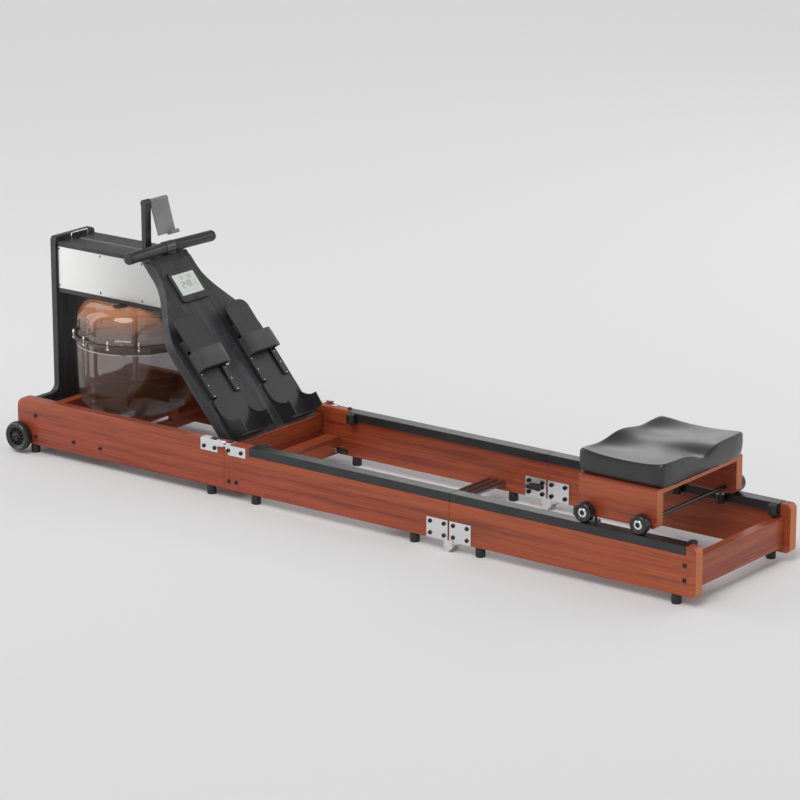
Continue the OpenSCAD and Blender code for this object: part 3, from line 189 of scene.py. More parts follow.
class Paint:
    """One material, with the principled shader that its values feed."""

    def __init__(self, name, **constants):
        self.material = bpy.data.materials.new(name)
        self.material.use_nodes = True
        self.tree = self.material.node_tree
        self.tree.nodes.clear()
        self.shader = self.tree.nodes.new("ShaderNodeBsdfPrincipled")
        output = self.tree.nodes.new("ShaderNodeOutputMaterial")
        self.tree.links.new(self.shader.outputs["BSDF"], output.inputs["Surface"])
        for key, value in constants.items():
            self.shader.inputs[key.replace("_", " ").title().replace("Ior", "IOR")].default_value = value

    def node(self, kind, settings=None, sockets=None, out=0):
        """Adds a node: its settings first, then the values or links of its sockets."""
        made = self.tree.nodes.new(kind)
        for key, value in (settings or {}).items():
            setattr(made, key, value)
        for key, value in (sockets or {}).items():
            if isinstance(value, Sock):
                self.tree.links.new(value.socket, made.inputs[key])
            else:
                made.inputs[key].default_value = value
        return Sock(self, made.outputs[out]) if made.outputs else made

    def space(self, scale=(1, 1, 1), turn=(0, 0, 0), shift=(0, 0, 0)):
        """Object coordinates, turned and stretched."""
        place = self.node("ShaderNodeTexCoord", out="Object")
        turned_place = self.node("ShaderNodeMapping", {}, {
            "Vector": place, "Rotation": turn, "Location": shift})
        return self.node("ShaderNodeVectorMath", {"operation": "MULTIPLY"}, {0: turned_place, 1: scale})

    def noise(self, vector, scale, detail=3.0, roughness=0.5, distortion=0.0):
        return self.node("ShaderNodeTexNoise", {}, {
            "Vector": vector, "Scale": scale, "Detail": detail, "Roughness": roughness,
            "Distortion": distortion})

    def cells(self, vector, scale):
        return self.node("ShaderNodeTexVoronoi", {}, {"Vector": vector, "Scale": scale}, out="Distance")

    def ribs(self, vector, scale, direction="X"):
        settings = {"wave_type": "BANDS", "bands_direction": direction, "wave_profile": "SIN"}
        return self.node("ShaderNodeTexWave", settings, {"Vector": vector, "Scale": scale}, out="Fac")

    def fade(self, value, low, high, start=0.0, end=1.0):
        """A smooth step from start to end as the value goes from low to high."""
        return self.node("ShaderNodeMapRange", {"interpolation_type": "SMOOTHSTEP"}, {
            "Value": value, "From Min": low, "From Max": high, "To Min": start, "To Max": end})

    def mix(self, factor, first, second):
        """A colour between two colours."""
        pair = [c if isinstance(c, Sock) else (*c[:3], 1.0) for c in (first, second)]
        return self.node("ShaderNodeMix", {"data_type": "RGBA"}, {0: factor, 6: pair[0], 7: pair[1]}, out=2)

    def part(self, vector, axis):
        return self.node("ShaderNodeSeparateXYZ", {}, {0: vector}, out=axis)

    def facing(self, axis):
        """How squarely the surface faces along an axis of the object, from 0 to 1."""
        return abs(self.part(self.node("ShaderNodeTexCoord", out="Normal"), axis))

    def feed(self, socket, value):
        self.tree.links.new(value.socket, self.shader.inputs[socket])

    def bump(self, height, strength, distance):
        self.feed("Normal", self.node("ShaderNodeBump", {}, {
            "Height": height, "Strength": strength, "Distance": distance}))

    def done(self, colour, roughness, height, strength, distance):
        """Feeds the colour, the roughness and the relief, and gives the material."""
        self.feed("Base Color", colour)
        self.feed("Roughness", roughness)
        self.bump(height, strength, distance)
        return self.material


def grain_scale(axis, stretch):
    """Scale that stretches a pattern along one axis."""
    scale = [stretch] * 3
    scale[axis] = 1.0
    return tuple(scale)


def cherry_finish(name, axis):
    """Red-brown lacquered wood whose grain runs along an axis: 0, 1 or 2."""
    colours = bpy.context.scene.rower_finishes
    paint = Paint(name, coat_weight=0.2, coat_roughness=0.16, specular_ior_level=0.4)
    place = paint.space(grain_scale(axis, 44.0))
    wander = paint.noise(place, 0.6, 2.0)
    streaks = paint.noise(place, 6.0, 5.0, 0.6, 0.05)
    broad = paint.noise(place, 1.3, 3.0, 0.55, 0.08)
    pores = paint.noise(place, 24.0, 2.0, 0.6)
    dark = paint.fade(streaks * 0.6 + broad * 0.4, 0.4, 0.7)
    tint = paint.mix(dark, tuple(colours.cherry), tuple(colours.cherry_streak))
    warm = paint.mix(paint.fade(wander, 0.35, 0.7, 0.0, 0.22), tint, tuple(colours.cherry_end))
    pored = paint.mix(paint.fade(pores, 0.56, 0.7, 0.0, 0.4), warm, tuple(colours.cherry_streak))
    ends = paint.fade(paint.facing(axis), 0.6, 0.95, 0.0, 0.75)
    return paint.done(
        paint.mix(ends, pored, tuple(colours.cherry_end)),
        0.34 + streaks * 0.14 + pores * 0.05, streaks * 0.5 + pores, 0.22, 0.00025)


def black_wood_finish(name, axis, slope=0.0):
    """Black stained wood with open pores along an axis, turned by a slope about Y."""
    colours = bpy.context.scene.rower_finishes
    paint = Paint(name, coat_weight=0.05, coat_roughness=0.3, specular_ior_level=0.35)
    place = paint.space(grain_scale(axis, 20.0), turn=(0, -slope, 0))
    streaks = paint.noise(place, 7.0, 5.0, 0.65, 0.5)
    flames = paint.noise(place, 1.8, 3.0, 0.6, 1.2)
    pores = paint.noise(place, 34.0, 3.0, 0.65)
    pale = tuple(min(1.0, c * 2.3) for c in colours.black_wood)
    deep = tuple(c * 0.45 for c in colours.black_wood)
    ground = paint.mix(paint.fade(flames * 0.5 + streaks * 0.5, 0.42, 0.66), tuple(colours.black_wood), pale)
    return paint.done(
        paint.mix(paint.fade(pores, 0.5, 0.68, 0.0, 0.85), ground, deep),
        0.36 + pores * 0.22, 1.0 - paint.fade(pores, 0.46, 0.7) + streaks * 0.5, 0.45, 0.0004)


def satin_metal_finish(name, colour, roughness, axis=0, metallic=1.0, lines=1400.0):
    """Metal with fine brushed lines along an axis."""
    paint = Paint(name, metallic=metallic)
    scale = [lines] * 3
    scale[axis] = lines / 250.0
    brushed = paint.noise(paint.space(tuple(scale)), 1.0, 2.0, 0.6)
    cloud = paint.noise(paint.space(), 9.0, 3.0, 0.5)
    darker = tuple(c * 0.86 for c in colour)
    return paint.done(
        paint.mix(brushed * 0.6 + cloud * 0.4, darker, tuple(colour)),
        (roughness - 0.08) + brushed * 0.1 + cloud * 0.08, brushed, 0.06, 0.00005)


def bright_metal_finish(name, colour, roughness):
    """Polished plate with faint wear and smears."""
    paint = Paint(name, metallic=1.0)
    place = paint.space()
    smear = paint.noise(place, 38.0, 4.0, 0.6, 0.4)
    pits = paint.noise(place, 420.0, 2.0, 0.5)
    return paint.done(
        paint.mix(smear, tuple(c * 0.88 for c in colour), colour),
        roughness * 0.6 + smear * roughness * 0.6 + pits * 0.04, pits, 0.04, 0.00004)


def plastic_finish(name, colour, roughness, grain=2400.0, depth=0.00006, coat=0.0, metallic=0.0):
    """Moulded plastic, rubber or paint with a fine grain and faint smears."""
    paint = Paint(name, coat_weight=coat, coat_roughness=0.12, metallic=metallic)
    place = paint.space()
    texture = paint.noise(place, grain, 2.0, 0.55)
    smear = paint.noise(place, 16.0, 4.0, 0.6, 0.3)
    paler = tuple(min(1.0, c * 1.35 + 0.002) for c in colour)
    return paint.done(
        paint.mix(paint.fade(smear, 0.35, 0.7), colour, paler),
        (roughness - 0.06) + smear * 0.1 + texture * 0.04, texture, 0.3, depth)


def foam_finish(name):
    """Closed cell foam of the grips."""
    paint = Paint(name, coat_weight=0.3, coat_roughness=0.2)
    place = paint.space()
    cells = paint.cells(place, 1100.0)
    smear = paint.noise(place, 30.0, 3.0)
    return paint.done(
        paint.mix(cells, (0.006, 0.006, 0.006), (0.026, 0.026, 0.027)),
        0.4 + smear * 0.12 + cells * 0.1, cells, 0.35, 0.00018)


def webbing_finish(name, slope=0.0, colour=(0.02, 0.02, 0.021), pitch=0.0016):
    """Woven webbing: warp ribs along the strap and picks across it."""
    paint = Paint(name, sheen_weight=0.35, sheen_roughness=0.5)
    place = paint.space(turn=(0, -slope, 0))
    along = paint.ribs(place, 1.0 / pitch / 3.14, "X")
    across = paint.ribs(place, 0.7 / pitch / 3.14, "Y")
    weave = along * across
    fluff = paint.noise(place, 700.0, 3.0, 0.7)
    pale = tuple(c * 2.4 + 0.006 for c in colour)
    return paint.done(
        paint.mix(weave * 0.7 + fluff * 0.3, colour, pale),
        0.66 + fluff * 0.2, weave + fluff * 0.3, 0.5, 0.0003)


def seat_skin_finish(name):
    """Glossy black moulded skin with a very fine grain."""
    paint = Paint(name, coat_weight=0.5, coat_roughness=0.24)
    place = paint.space()
    grain = paint.cells(place, 950.0)
    wear = paint.noise(place, 11.0, 4.0, 0.55, 0.4)
    return paint.done(
        paint.mix(wear, (0.006, 0.006, 0.007), (0.013, 0.013, 0.014)),
        0.3 + wear * 0.08 + grain * 0.04, grain, 0.1, 0.0001)


def tank_finish(name):
    """Smoke tinted clear plastic with faint flow lines, and painted light that gives it a brighter coppery
    tone towards the top.
    """
    colours = bpy.context.scene.rower_finishes
    paint = Paint(name, coat_weight=0.8, coat_roughness=0.02, specular_ior_level=0.6)
    place = paint.space((1, 1, 0.25))
    flow = paint.noise(place, 14.0, 3.0, 0.5, 0.6)
    low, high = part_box("tank_dome")
    height = paint.part(paint.space(), 2)
    # Painted light: the tint turns brighter and the wall more opaque towards the dome's top, standing in for
    # light on the dome.
    painted_top_light = paint.fade(height, low.z, high.z, 0.0, 0.85)
    smoke = tuple(c * 0.28 for c in colours.tank)
    paint.feed("Alpha", 0.32 + flow * 0.08 + painted_top_light * 0.3)
    return paint.done(
        paint.mix(painted_top_light, smoke, tuple(c * 1.8 for c in colours.tank)),
        0.03 + flow * 0.03, flow, 0.05, 0.001)


def water_finish(name):
    """Still water with faint ripples."""
    paint = Paint(name, transmission_weight=1.0, ior=1.33, roughness=0.02)
    ripple = paint.noise(paint.space(), 26.0, 3.0, 0.5, 0.8)
    paint.feed("Base Color", paint.mix(ripple, (0.78, 0.84, 0.86), (0.92, 0.96, 0.97)))
    paint.bump(ripple, 0.2, 0.002)
    return paint.material


def screen_finish(name, slope):
    """Grey-green display under a clear window."""
    colours = bpy.context.scene.rower_finishes
    paint = Paint(name, coat_weight=1.0, coat_roughness=0.04)
    place = paint.space(turn=(0, -slope, 0))
    cells = paint.ribs(place, 900.0, "X") * paint.ribs(place, 900.0, "Y")
    cloud = paint.noise(place, 40.0, 3.0, 0.6)
    paler = tuple(min(1.0, c * 1.16) for c in colours.screen)
    paint.feed("Base Color", paint.mix(cloud * 0.7 + cells * 0.3, tuple(colours.screen), paler))
    paint.feed("Roughness", 0.3 + cloud * 0.15)
    return paint.material


def board_slope():
    """Slope of the footboard, from the way that the heel plates slide."""
    way = JOINTS["left_heel_slide"]["axis"]
    return math.atan2(-way[2], way[0])


def panel_finish(name):
    """Satin metal of the side panels, in the colour that a user picks."""
    return satin_metal_finish(name, tuple(bpy.context.scene.rower_finishes.panel), 0.36)


# Each finish: its maker and the values that the maker takes after the name
FINISHES = {
    "cherry_x": (cherry_finish, 0),
    "cherry_y": (cherry_finish, 1),
    "black_wood_x": (black_wood_finish, 0),
    "black_wood_z": (black_wood_finish, 2),
    "black_wood_slope": (black_wood_finish, 0, board_slope()),
    "panel_metal": (panel_finish,),
    "track_metal": (plastic_finish, (0.017, 0.018, 0.018), 0.3, 1800.0, 0.00004),
    "plate_metal": (satin_metal_finish, (0.42, 0.43, 0.44), 0.3, 1),
    "hinge_steel": (bright_metal_finish, (0.86, 0.86, 0.87), 0.16),
    "chrome": (bright_metal_finish, (0.82, 0.82, 0.83), 0.09),
    "spring_steel": (satin_metal_finish, (0.5, 0.5, 0.5), 0.32, 2),
    "black_steel": (plastic_finish, (0.018, 0.018, 0.02), 0.3, 1500.0, 0.00003, 0.2, 0.35),
    "black_plastic": (plastic_finish, (0.017, 0.017, 0.018), 0.42),
    "grey_plastic": (plastic_finish, (0.020, 0.020, 0.021), 0.4),
    "satin_grey": (plastic_finish, (0.17, 0.17, 0.172), 0.45),
    "clamp_plastic": (plastic_finish, (0.042, 0.041, 0.035), 0.3, 1800.0, 0.00004, 0.3),
    "rubber": (plastic_finish, (0.014, 0.014, 0.014), 0.5, 1300.0, 0.0001),
    "tyre": (plastic_finish, (0.010, 0.010, 0.011), 0.36, 1500.0, 0.00005, 0.2),
    "foam_grip": (foam_finish,),
    "webbing_x": (webbing_finish,),
    "webbing_slope": (webbing_finish, board_slope(), (0.03, 0.03, 0.031)),
    "seat_skin": (seat_skin_finish,),
    "smoke_tank": (tank_finish,),
    "water": (water_finish,),
    "screen": (screen_finish, board_slope()),
    "screen_ink": (plastic_finish, (0.15, 0.18, 0.16), 0.4),
    "level_mark": (plastic_finish, (0.72, 0.71, 0.70), 0.5, 900.0, 0.00002),
}
MADE = {}


def finish(name):
    """The finish of that name, made when it is first asked for; the frame has materials of its own."""
    if name not in MADE:
        maker, *values = FINISHES[name]
        MADE[name] = maker("finish_" + name, *values)
    return MADE[name]


# Mesh helpers

def footboard_frame():
    """Matrix of the footboard's face: x runs down the slope and z stands off it."""
    console_from = 45 * MM
    turn = Matrix.Rotation(board_slope(), 4, "Y")
    points = [turn.inverted() @ v.co for v in frame["nodes"]["console_case"].data.vertices]
    origin = Vector((min(p.x for p in points) - console_from, 0, min(p.z for p in points)))
    return turn @ Matrix.Translation(origin)


def board_points(node):
    """The footboard's matrix, and the points of a CAD node as the footboard sees them."""
    board = footboard_frame()
    flat = board.inverted()
    return board, [flat @ v.co for v in frame["nodes"][node].data.vertices]


def copy_of(node):
    """A welded copy of a CAD node's mesh, with its flat faces made whole."""
    bm = bmesh.new()
    bm.from_mesh(frame["nodes"][node].data)
    bmesh.ops.remove_doubles(bm, verts=bm.verts, dist=WELD)
    bmesh.ops.dissolve_limit(bm, angle_limit=math.radians(0.5), verts=bm.verts, edges=bm.edges)
    return bm


def verts_of(geometry):
    """The vertices among what an operator made."""
    return [g for g in geometry if isinstance(g, bmesh.types.BMVert)]


def round_edges(bm, radius, segments=3, sharper_than=28.0, shortest=2.2):
    """Rounds the outer corners that are longer than a few radii."""
    sharp = [
        e for e in bm.edges
        if len(e.link_faces) == 2 and e.is_convex and e.calc_length() > shortest * radius
        and e.calc_face_angle() > math.radians(sharper_than)]
    bmesh.ops.bevel(
        bm, geom=sharp, offset=radius, offset_type="OFFSET", segments=segments, profile=0.5,
        affect="EDGES", clamp_overlap=False, material=-1)


def solids_of(node):
    """Lowest and highest corners of each separate solid of a CAD node."""
    bm = bmesh.new()
    bm.from_mesh(frame["nodes"][node].data)
    bmesh.ops.remove_doubles(bm, verts=bm.verts, dist=WELD)
    left = set(bm.verts)
    boxes = []
    while left:
        todo = [left.pop()]
        points = []
        while todo:
            vert = todo.pop()
            points.append(vert.co.copy())
            near = [e.other_vert(vert) for e in vert.link_edges]
            fresh = [v for v in near if v in left]
            left.difference_update(fresh)
            todo.extend(fresh)
        low = Vector([min(p[i] for p in points) for i in range(3)])
        high = Vector([max(p[i] for p in points) for i in range(3)])
        boxes.append((low, high))
    bm.free()
    return sorted(boxes, key=lambda b: tuple(b[0]))


def rounded(points, radius, steps=4):
    """An open profile with its inner corners rounded."""
    out = [Vector(points[0])]
    for before, corner, after in zip(points, points[1:], points[2:]):
        corner = Vector(corner)
        back = Vector(before) - corner
        on = Vector(after) - corner
        start = corner + back.normalized() * min(radius, back.length / 2)
        end = corner + on.normalized() * min(radius, on.length / 2)
        for i in range(steps + 1):
            t = i / steps
            out.append(start * (1 - t) ** 2 + corner * 2 * t * (1 - t) + end * t * t)
    out.append(Vector(points[-1]))
    return [tuple(p) for p in out]


def chain(bm, points):
    """Adds points and the edges that join them in a row, and gives both."""
    verts = [bm.verts.new(point) for point in points]
    return verts, [bm.edges.new(pair) for pair in zip(verts, verts[1:])]


def turned(profile, axis=UP, steps=48, ring=False):
    """A profile of (radius, height) turned round an axis through the origin. A ring closes on itself."""
    axis = Vector(axis).normalized()
    side = axis.orthogonal().normalized()
    bm = bmesh.new()
    verts, edges = chain(bm, [axis * h + side * r for r, h in profile])
    if ring:
        edges.append(bm.edges.new((verts[-1], verts[0])))
    bmesh.ops.spin(
        bm, geom=verts + edges, cent=(0, 0, 0), axis=axis, angle=math.tau, steps=steps, use_merge=True)
    bmesh.ops.remove_doubles(bm, verts=bm.verts, dist=WELD)
    bmesh.ops.recalc_face_normals(bm, faces=bm.faces)
    return bm


def add(target, part, matrix=Matrix.Identity(4)):
    """Adds a copy of one bmesh to another, placed by a matrix."""
    mesh = bpy.data.meshes.new("part")
    part.to_mesh(mesh)
    mesh.transform(matrix)
    if matrix.determinant() < 0:
        mesh.flip_normals()
    target.from_mesh(mesh)
    bpy.data.meshes.remove(mesh)


def slab(low, high, radius, segments=3):
    """A board between two corners with rounded edges."""
    low, high = Vector(low), Vector(high)
    bm = bmesh.new()
    size = high - low
    place = Matrix.Translation((low + high) / 2) @ Matrix.Diagonal((*size, 1.0))
    bmesh.ops.create_cube(bm, size=1.0, matrix=place)
    if radius:
        round_edges(bm, min(radius, min(size) / 2.1), segments, shortest=0.0)
    return bm


def moved(part, matrix):
    """A bmesh placed by a matrix, as a new one."""
    bm = bmesh.new()
    add(bm, part, matrix)
    return bm


def linked(bm, name, material):
    """Makes a bmesh an object of the scene, with its material."""
    mesh = bpy.data.meshes.new(name)
    bm.to_mesh(mesh)
    bm.free()
    mesh.materials.append(material)
    made = bpy.data.objects.new(name, mesh)
    bpy.context.scene.collection.objects.link(made)
    return made


def place(bm, name, finish_name, home, replaces=(), crease=32.0, slot=None):
    """Makes a bmesh a shown piece on the body of its home node; the slot it takes is not used."""
    piece = linked(bm, name, finish(finish_name))
    piece.data.shade_smooth()
    piece.data.set_sharp_from_angle(angle=math.radians(crease))
    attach(piece, BODIES[home])
    if replaces:
        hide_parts(*replaces)
    return piece


def stand_in(bm, node, finish_name, crease=32.0):
    """Makes a bmesh the piece that stands for a CAD node."""
    return place(bm, node + "_finished", finish_name, node, (node,), crease)


def weigh_normals(piece):
    """Keeps flat faces flat beside their rounded edges."""
    modifier = piece.modifiers.new("flat faces", "WEIGHTED_NORMAL")
    modifier.keep_sharp = True
    return piece


def dress(node, finish_name, edge, segments=3, sharper_than=28.0, shortest=2.2):
    """Replaces a CAD node by a copy with rounded edges and its finish."""
    bm = copy_of(node)
    if edge:
        round_edges(bm, edge, segments, sharper_than, shortest)
    return weigh_normals(stand_in(bm, node, finish_name))


# Stage

def aimed(spot, way, track="-Z"):
    """Matrix of something at a spot whose track axis points along a way."""
    return Matrix.Translation(spot) @ way.to_track_quat(track, "Y").to_matrix().to_4x4()


class ROWER_OT_stage(bpy.types.Operator):
    """Sets up the camera, the floor and the soft studio light"""

    bl_idname = "rower.stage"
    bl_label = "Studio and camera"

    def execute(self, context):
        camera_place = (5.24725, -6.856, 2.740)
        view_turn = math.radians(37.18)
        view_drop = math.radians(16.03)
        lens = 166.2
        scene = context.scene
        scene.view_settings.view_transform = "Standard"
        data = bpy.data.cameras.new("photo_camera")
        data.lens = lens
        data.sensor_width = 36.0
        data.clip_end = 200.0
        camera = bpy.data.objects.new("photo_camera", data)
        scene.collection.objects.link(camera)
        ahead = Vector((
            -math.sin(view_turn) * math.cos(view_drop), math.cos(view_turn) * math.cos(view_drop),
            -math.sin(view_drop)))
        camera.matrix_world = aimed(camera_place, ahead)
        scene.camera = camera
        self.floor(context)
        self.lights(scene)
        self.cards()
        self.world(scene)
        return {"FINISHED"}

    def floor(self, context):
        bm = bmesh.new()
        bmesh.ops.create_grid(bm, x_segments=1, y_segments=1, size=60.0)
        paint = Paint("floor", specular_ior_level=0.0, roughness=0.9)
        colour = tuple(context.scene.rower_finishes.backdrop)
        cloud = paint.noise(paint.space(), 0.7, 2.0)
        paint.feed("Base Color", paint.mix(cloud * 0.03, colour, tuple(c * 0.97 for c in colour)))
        floor = linked(bm, "floor", paint.material)

    def lights(self, scene):
        sun = bpy.data.lights.new("key", "SUN")
        sun.energy = 1.3
        sun.angle = math.radians(32)
        key = bpy.data.objects.new("key", sun)
        key.rotation_euler = (math.radians(34), math.radians(12), math.radians(-8))
        scene.collection.objects.link(key)
        target = Vector((0, 0, 0.25))
        for name, spot, size, power in (
                ("side_box", (-3.4, -1.2, 2.2), (1.4, 2.6), 21.0),
                ("back_box", (1.6, 4.2, 2.4), (4.5, 1.2), 34.0)):
            light = bpy.data.lights.new(name, "AREA")
            light.shape = "RECTANGLE"
            light.size, light.size_y = size
            light.energy = power
            box = bpy.data.objects.new(name, light)
            box.matrix_world = aimed(spot, target - Vector(spot))
            scene.collection.objects.link(box)

    def cards(self):
        """Reflector cards that only glossy surfaces see: bands on the tank, and sheen on the seat."""
        low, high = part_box("tank_bowl")
        tank = (low + high) / 2
        seat_low, seat_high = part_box("seat_pad")
        seat = (seat_low + seat_high) / 2
        behind_seat = 127
        for name, about, turn, distance, low_edge, high_edge, width, power in (
                ("wide_card", tank, -138, 0.8, 0.0, 1.6, 0.17, 2.6),
                ("thin_card", tank, -156, 0.8, 0.0, 1.6, 0.06, 1.8),
                ("back_card", seat, behind_seat, 6.0, 1.7, 2.9, 1.6, 1.5)):
            away = Vector((math.cos(math.radians(turn)), math.sin(math.radians(turn)), 0))
            spot = Vector((about.x, about.y, (low_edge + high_edge) / 2)) + away * distance
            shape = aimed(spot, away, "Z") @ Matrix.Diagonal((width, high_edge - low_edge, 1, 1))
            bm = bmesh.new()
            bmesh.ops.create_grid(bm, x_segments=1, y_segments=1, size=0.5, matrix=shape)
            paint = Paint(name, emission_strength=power, roughness=1.0)
            paint.shader.inputs["Emission Color"].default_value = (1, 1, 1, 1)
            card = linked(bm, name, paint.material)
            card.visible_camera = False
            card.visible_diffuse = False
            card.visible_transmission = False
            card.visible_shadow = False

    def world(self, scene):
        world = bpy.data.worlds.new("studio")
        world.use_nodes = True
        scene.world = world
        sky = Paint.__new__(Paint)
        sky.tree = world.node_tree
        sky.tree.nodes.clear()
        colour = tuple(scene.rower_finishes.backdrop)
        horizon = tuple(c * 0.95 for c in colour)
        horizon_from, horizon_to = 0.1, 0.75
        overhead = (0.26, 0.26, 0.26)
        soft_fill = (0.585, 0.585, 0.595)
        rays = [sky.node("ShaderNodeLightPath", out=name) for name in (
            "Is Camera Ray", "Is Transmission Ray", "Is Glossy Ray")]
        seen = rays[0].maths("MAXIMUM", rays[0], rays[1])
        height = sky.part(sky.node("ShaderNodeTexCoord", out="Generated"), 2)
        glow = sky.mix(sky.fade(height, horizon_from, horizon_to), horizon, overhead)
        fill = sky.mix(rays[2], soft_fill, glow)
        background = sky.node("ShaderNodeBackground", {}, {
            "Color": sky.mix(seen, fill, colour), "Strength": 1.0})
        sky.node("ShaderNodeOutputWorld", {}, {"Surface": background})


# Boards and metalwork

class ROWER_OT_rails(bpy.types.Operator):
    """Builds the wooden rails and the boards that cross between them"""

    bl_idname = "rower.rails"
    bl_label = "Rails and cross boards"

    def execute(self, context):
        edge = context.scene.rower_sizes.board_edge
        for node in ("front_rails", "mid_rails", "rear_rails"):
            dress(node, "cherry_x", edge)
        for node in ("front_cross_boards", "mid_cross_board", "rear_cross_board"):
            dress(node, "cherry_y", edge)
        dress("tank_cradle", "cherry_y", edge / 2)
        return {"FINISHED"}


class ROWER_OT_tracks(bpy.types.Operator):
    """Builds the black tracks with their end plates and the ribbed cross plate"""

    bl_idname = "rower.tracks"
    bl_label = "Tracks and cross plate"

    def execute(self, context):
        edge = context.scene.rower_sizes.plastic_edge
        for node in ("mid_tracks", "rear_tracks"):
            dress(node, "track_metal", edge)
        dress("cross_plate", "plate_metal", edge / 2)
        self.end_plates()
        return {"FINISHED"}

    def end_plates(self):
        plate_length = 78 * MM
        plate_rise = 0.2 * MM
        margin = 2.5 * MM
        corner = 9 * MM
        plates = bmesh.new()
        for low, high in solids_of("rear_tracks"):
            plate = slab(
                (high.x - plate_length, low.y + margin, high.z - margin),
                (high.x - margin, high.y - margin, high.z + plate_rise), 0)
            front = [e for e in plate.edges if abs(e.verts[0].co.z - e.verts[1].co.z) > margin / 2
                     and e.verts[0].co.x < high.x - plate_length / 2]
            bmesh.ops.bevel(
                plate, geom=front, offset=corner, segments=6, profile=0.5, affect="EDGES", material=-1)
            add(plates, plate)
        place(plates, "track_end_plates", "black_steel", "rear_tracks")


class ROWER_OT_hinges(bpy.types.Operator):
    """Builds the polished hinge plates, the latch and the release pedal"""

    bl_idname = "rower.hinges"
    bl_label = "Hinges, latch and pedal"

    def execute(self, context):
        sizes = context.scene.rower_sizes
        for node in ("front_hinges", "mid_hinges", "rear_hinges"):
            dress(node, "hinge_steel", sizes.metal_edge, 2, shortest=5.0)
        dress("seam_latch", "black_plastic", sizes.plastic_edge, shortest=3.0)
        dress("release_pedal", "black_plastic", sizes.plastic_edge, shortest=3.0)
        return {"FINISHED"}


class ROWER_OT_bolts(bpy.types.Operator):
    """Builds the domed socket bolts, axle caps and panel screws"""

    bl_idname = "rower.bolts"
    bl_label = "Bolts and screws"

    def execute(self, context):
        for node in ("front_bolts", "mid_bolts", "rear_bolts"):
            bolts = bmesh.new()
            for low, high in solids_of(node):
                self.fastener(bolts, low, high)
            stand_in(bolts, node, "black_steel")
        return {"FINISHED"}

    def fastener(self, bolts, low, high):
        """A bolt along Y whose head faces out, with a nut if it goes through a rail, or else a screw."""
        middle = (low + high) / 2
        size = high - low
        inside_rails = 0.1
        thin_head = 0.007
        shortest_through, longest_through = 0.036, 0.048
        widest_with_nut = 0.0065
        along_y = (
            abs(middle.y) > inside_rails and size.y > size.z * 0.8
            or size.z > size.x - MM or abs(middle.y) < inside_rails)
        if not along_y or size.x > size.y * 0.98 and size.z < thin_head:
            self.top_screw(bolts, low, high)
            return
        out = 1 if middle.y > 0 else -1
        radius = size.z / 2
        length = size.y
        outer = high.y if out > 0 else low.y
        turn = Matrix.Identity(4) if out > 0 else Matrix.Rotation(math.pi, 4, "Z")
        add(bolts, self.button(radius, length), Matrix.Translation((middle.x, outer, middle.z)) @ turn)
        if shortest_through < length < longest_through and radius < widest_with_nut:
            nut_height = 3.5 * MM
            outline = [(0, 0.0), (radius, 0.0), (radius, nut_height), (0, nut_height)]
            nut = turned(rounded(outline, 0.8 * MM), ACROSS, 24)
            inner = low.y if out > 0 else high.y - nut_height
            add(bolts, nut, Matrix.Translation((middle.x, inner, middle.z)))

    def button(self, radius, length):
        """A domed head on +Y with a hexagon socket, and its shank."""
        head = min(radius * 0.64, 3.5 * MM)
        socket = radius * 0.46
        depth = head * 0.6
        shank = radius * 0.54
        profile = [
            (0, -depth), (socket, -depth), (socket, -0.15 * MM), (socket + 0.2 * MM, 0),
            (radius * 0.66, -head * 0.04), (radius * 0.84, -head * 0.2), (radius * 0.95, -head * 0.45),
            (radius, -head * 0.75), (radius, -head),
            (shank, -head), (shank, -length), (0, -length)]
        bolt = turned(profile, ACROSS, 24)
        flat = math.radians(60)
        for vert in bolt.verts:
            reach = math.hypot(vert.co.x, vert.co.z)
            if 0.5 * socket < reach < socket + 0.25 * MM and vert.co.y > -depth - WELD:
                turn = math.atan2(vert.co.z, vert.co.x) % flat - flat / 2
                share = math.cos(flat / 2) / math.cos(turn)
                vert.co.x *= share
                vert.co.z *= share
        return bolt

    def top_screw(self, bolts, low, high):
        """A screw whose head faces up."""
        middle = (low + high) / 2
        radius = (high.x - low.x) / 2
        rise = high.z - low.z
        stand = Matrix.Rotation(math.pi / 2, 4, "X")
        add(bolts, self.button(radius, rise), Matrix.Translation((middle.x, middle.y, high.z)) @ stand)


class ROWER_OT_feet(bpy.types.Operator):
    """Builds the rubber feet and the seat's end stops"""

    bl_idname = "rower.feet"
    bl_label = "Feet and end stops"

    def execute(self, context):
        for node in ("front_feet", "mid_feet", "rear_feet"):
            feet = bmesh.new()
            for low, high in solids_of(node):
                middle = (low + high) / 2
                if low.z < 1 * MM:
                    radius = (high.x - low.x) / 2
                    foot = turned(rounded([
                        (0, 0), (radius * 0.92, 0), (radius, 2 * MM), (radius, 17 * MM),
                        (radius * 0.9, 18 * MM),
                        (radius * 0.9, 20 * MM), (radius, 21 * MM), (radius, 24 * MM), (3 * MM, 24 * MM),
                        (3 * MM, high.z), (0, high.z)], 0.8 * MM, 3), UP, 32)
                    add(feet, foot, Matrix.Translation((middle.x, middle.y, 0)))
                else:
                    self.stop(feet, low, high)
            stand_in(feet, node, "rubber")
        return {"FINISHED"}

    def stop(self, feet, low, high):
        """A round buffer on its small bracket."""
        radius = (high.x - low.x) / 2
        bracket = 5 * MM
        out = 1 if high.y > 0 else -1
        inner = low.y if out > 0 else high.y
        centre = inner + out * radius
        height = high.z - low.z
        buffer = turned(rounded([
            (0, bracket), (radius, bracket), (radius, height - 2 * MM), (radius * 0.9, height),
            (radius * 0.3, height), (radius * 0.3, height - 2 * MM), (0, height - 2 * MM)],
            0.8 * MM, 3), UP, 32)
        add(feet, buffer, Matrix.Translation(((low.x + high.x) / 2, centre, low.z)))
        edge = high.y if out > 0 else low.y
        sides = sorted((centre - out * 2 * MM, edge))
        add(feet, slab((low.x, sides[0], low.z), (high.x, sides[1], low.z + bracket), 0.8 * MM))


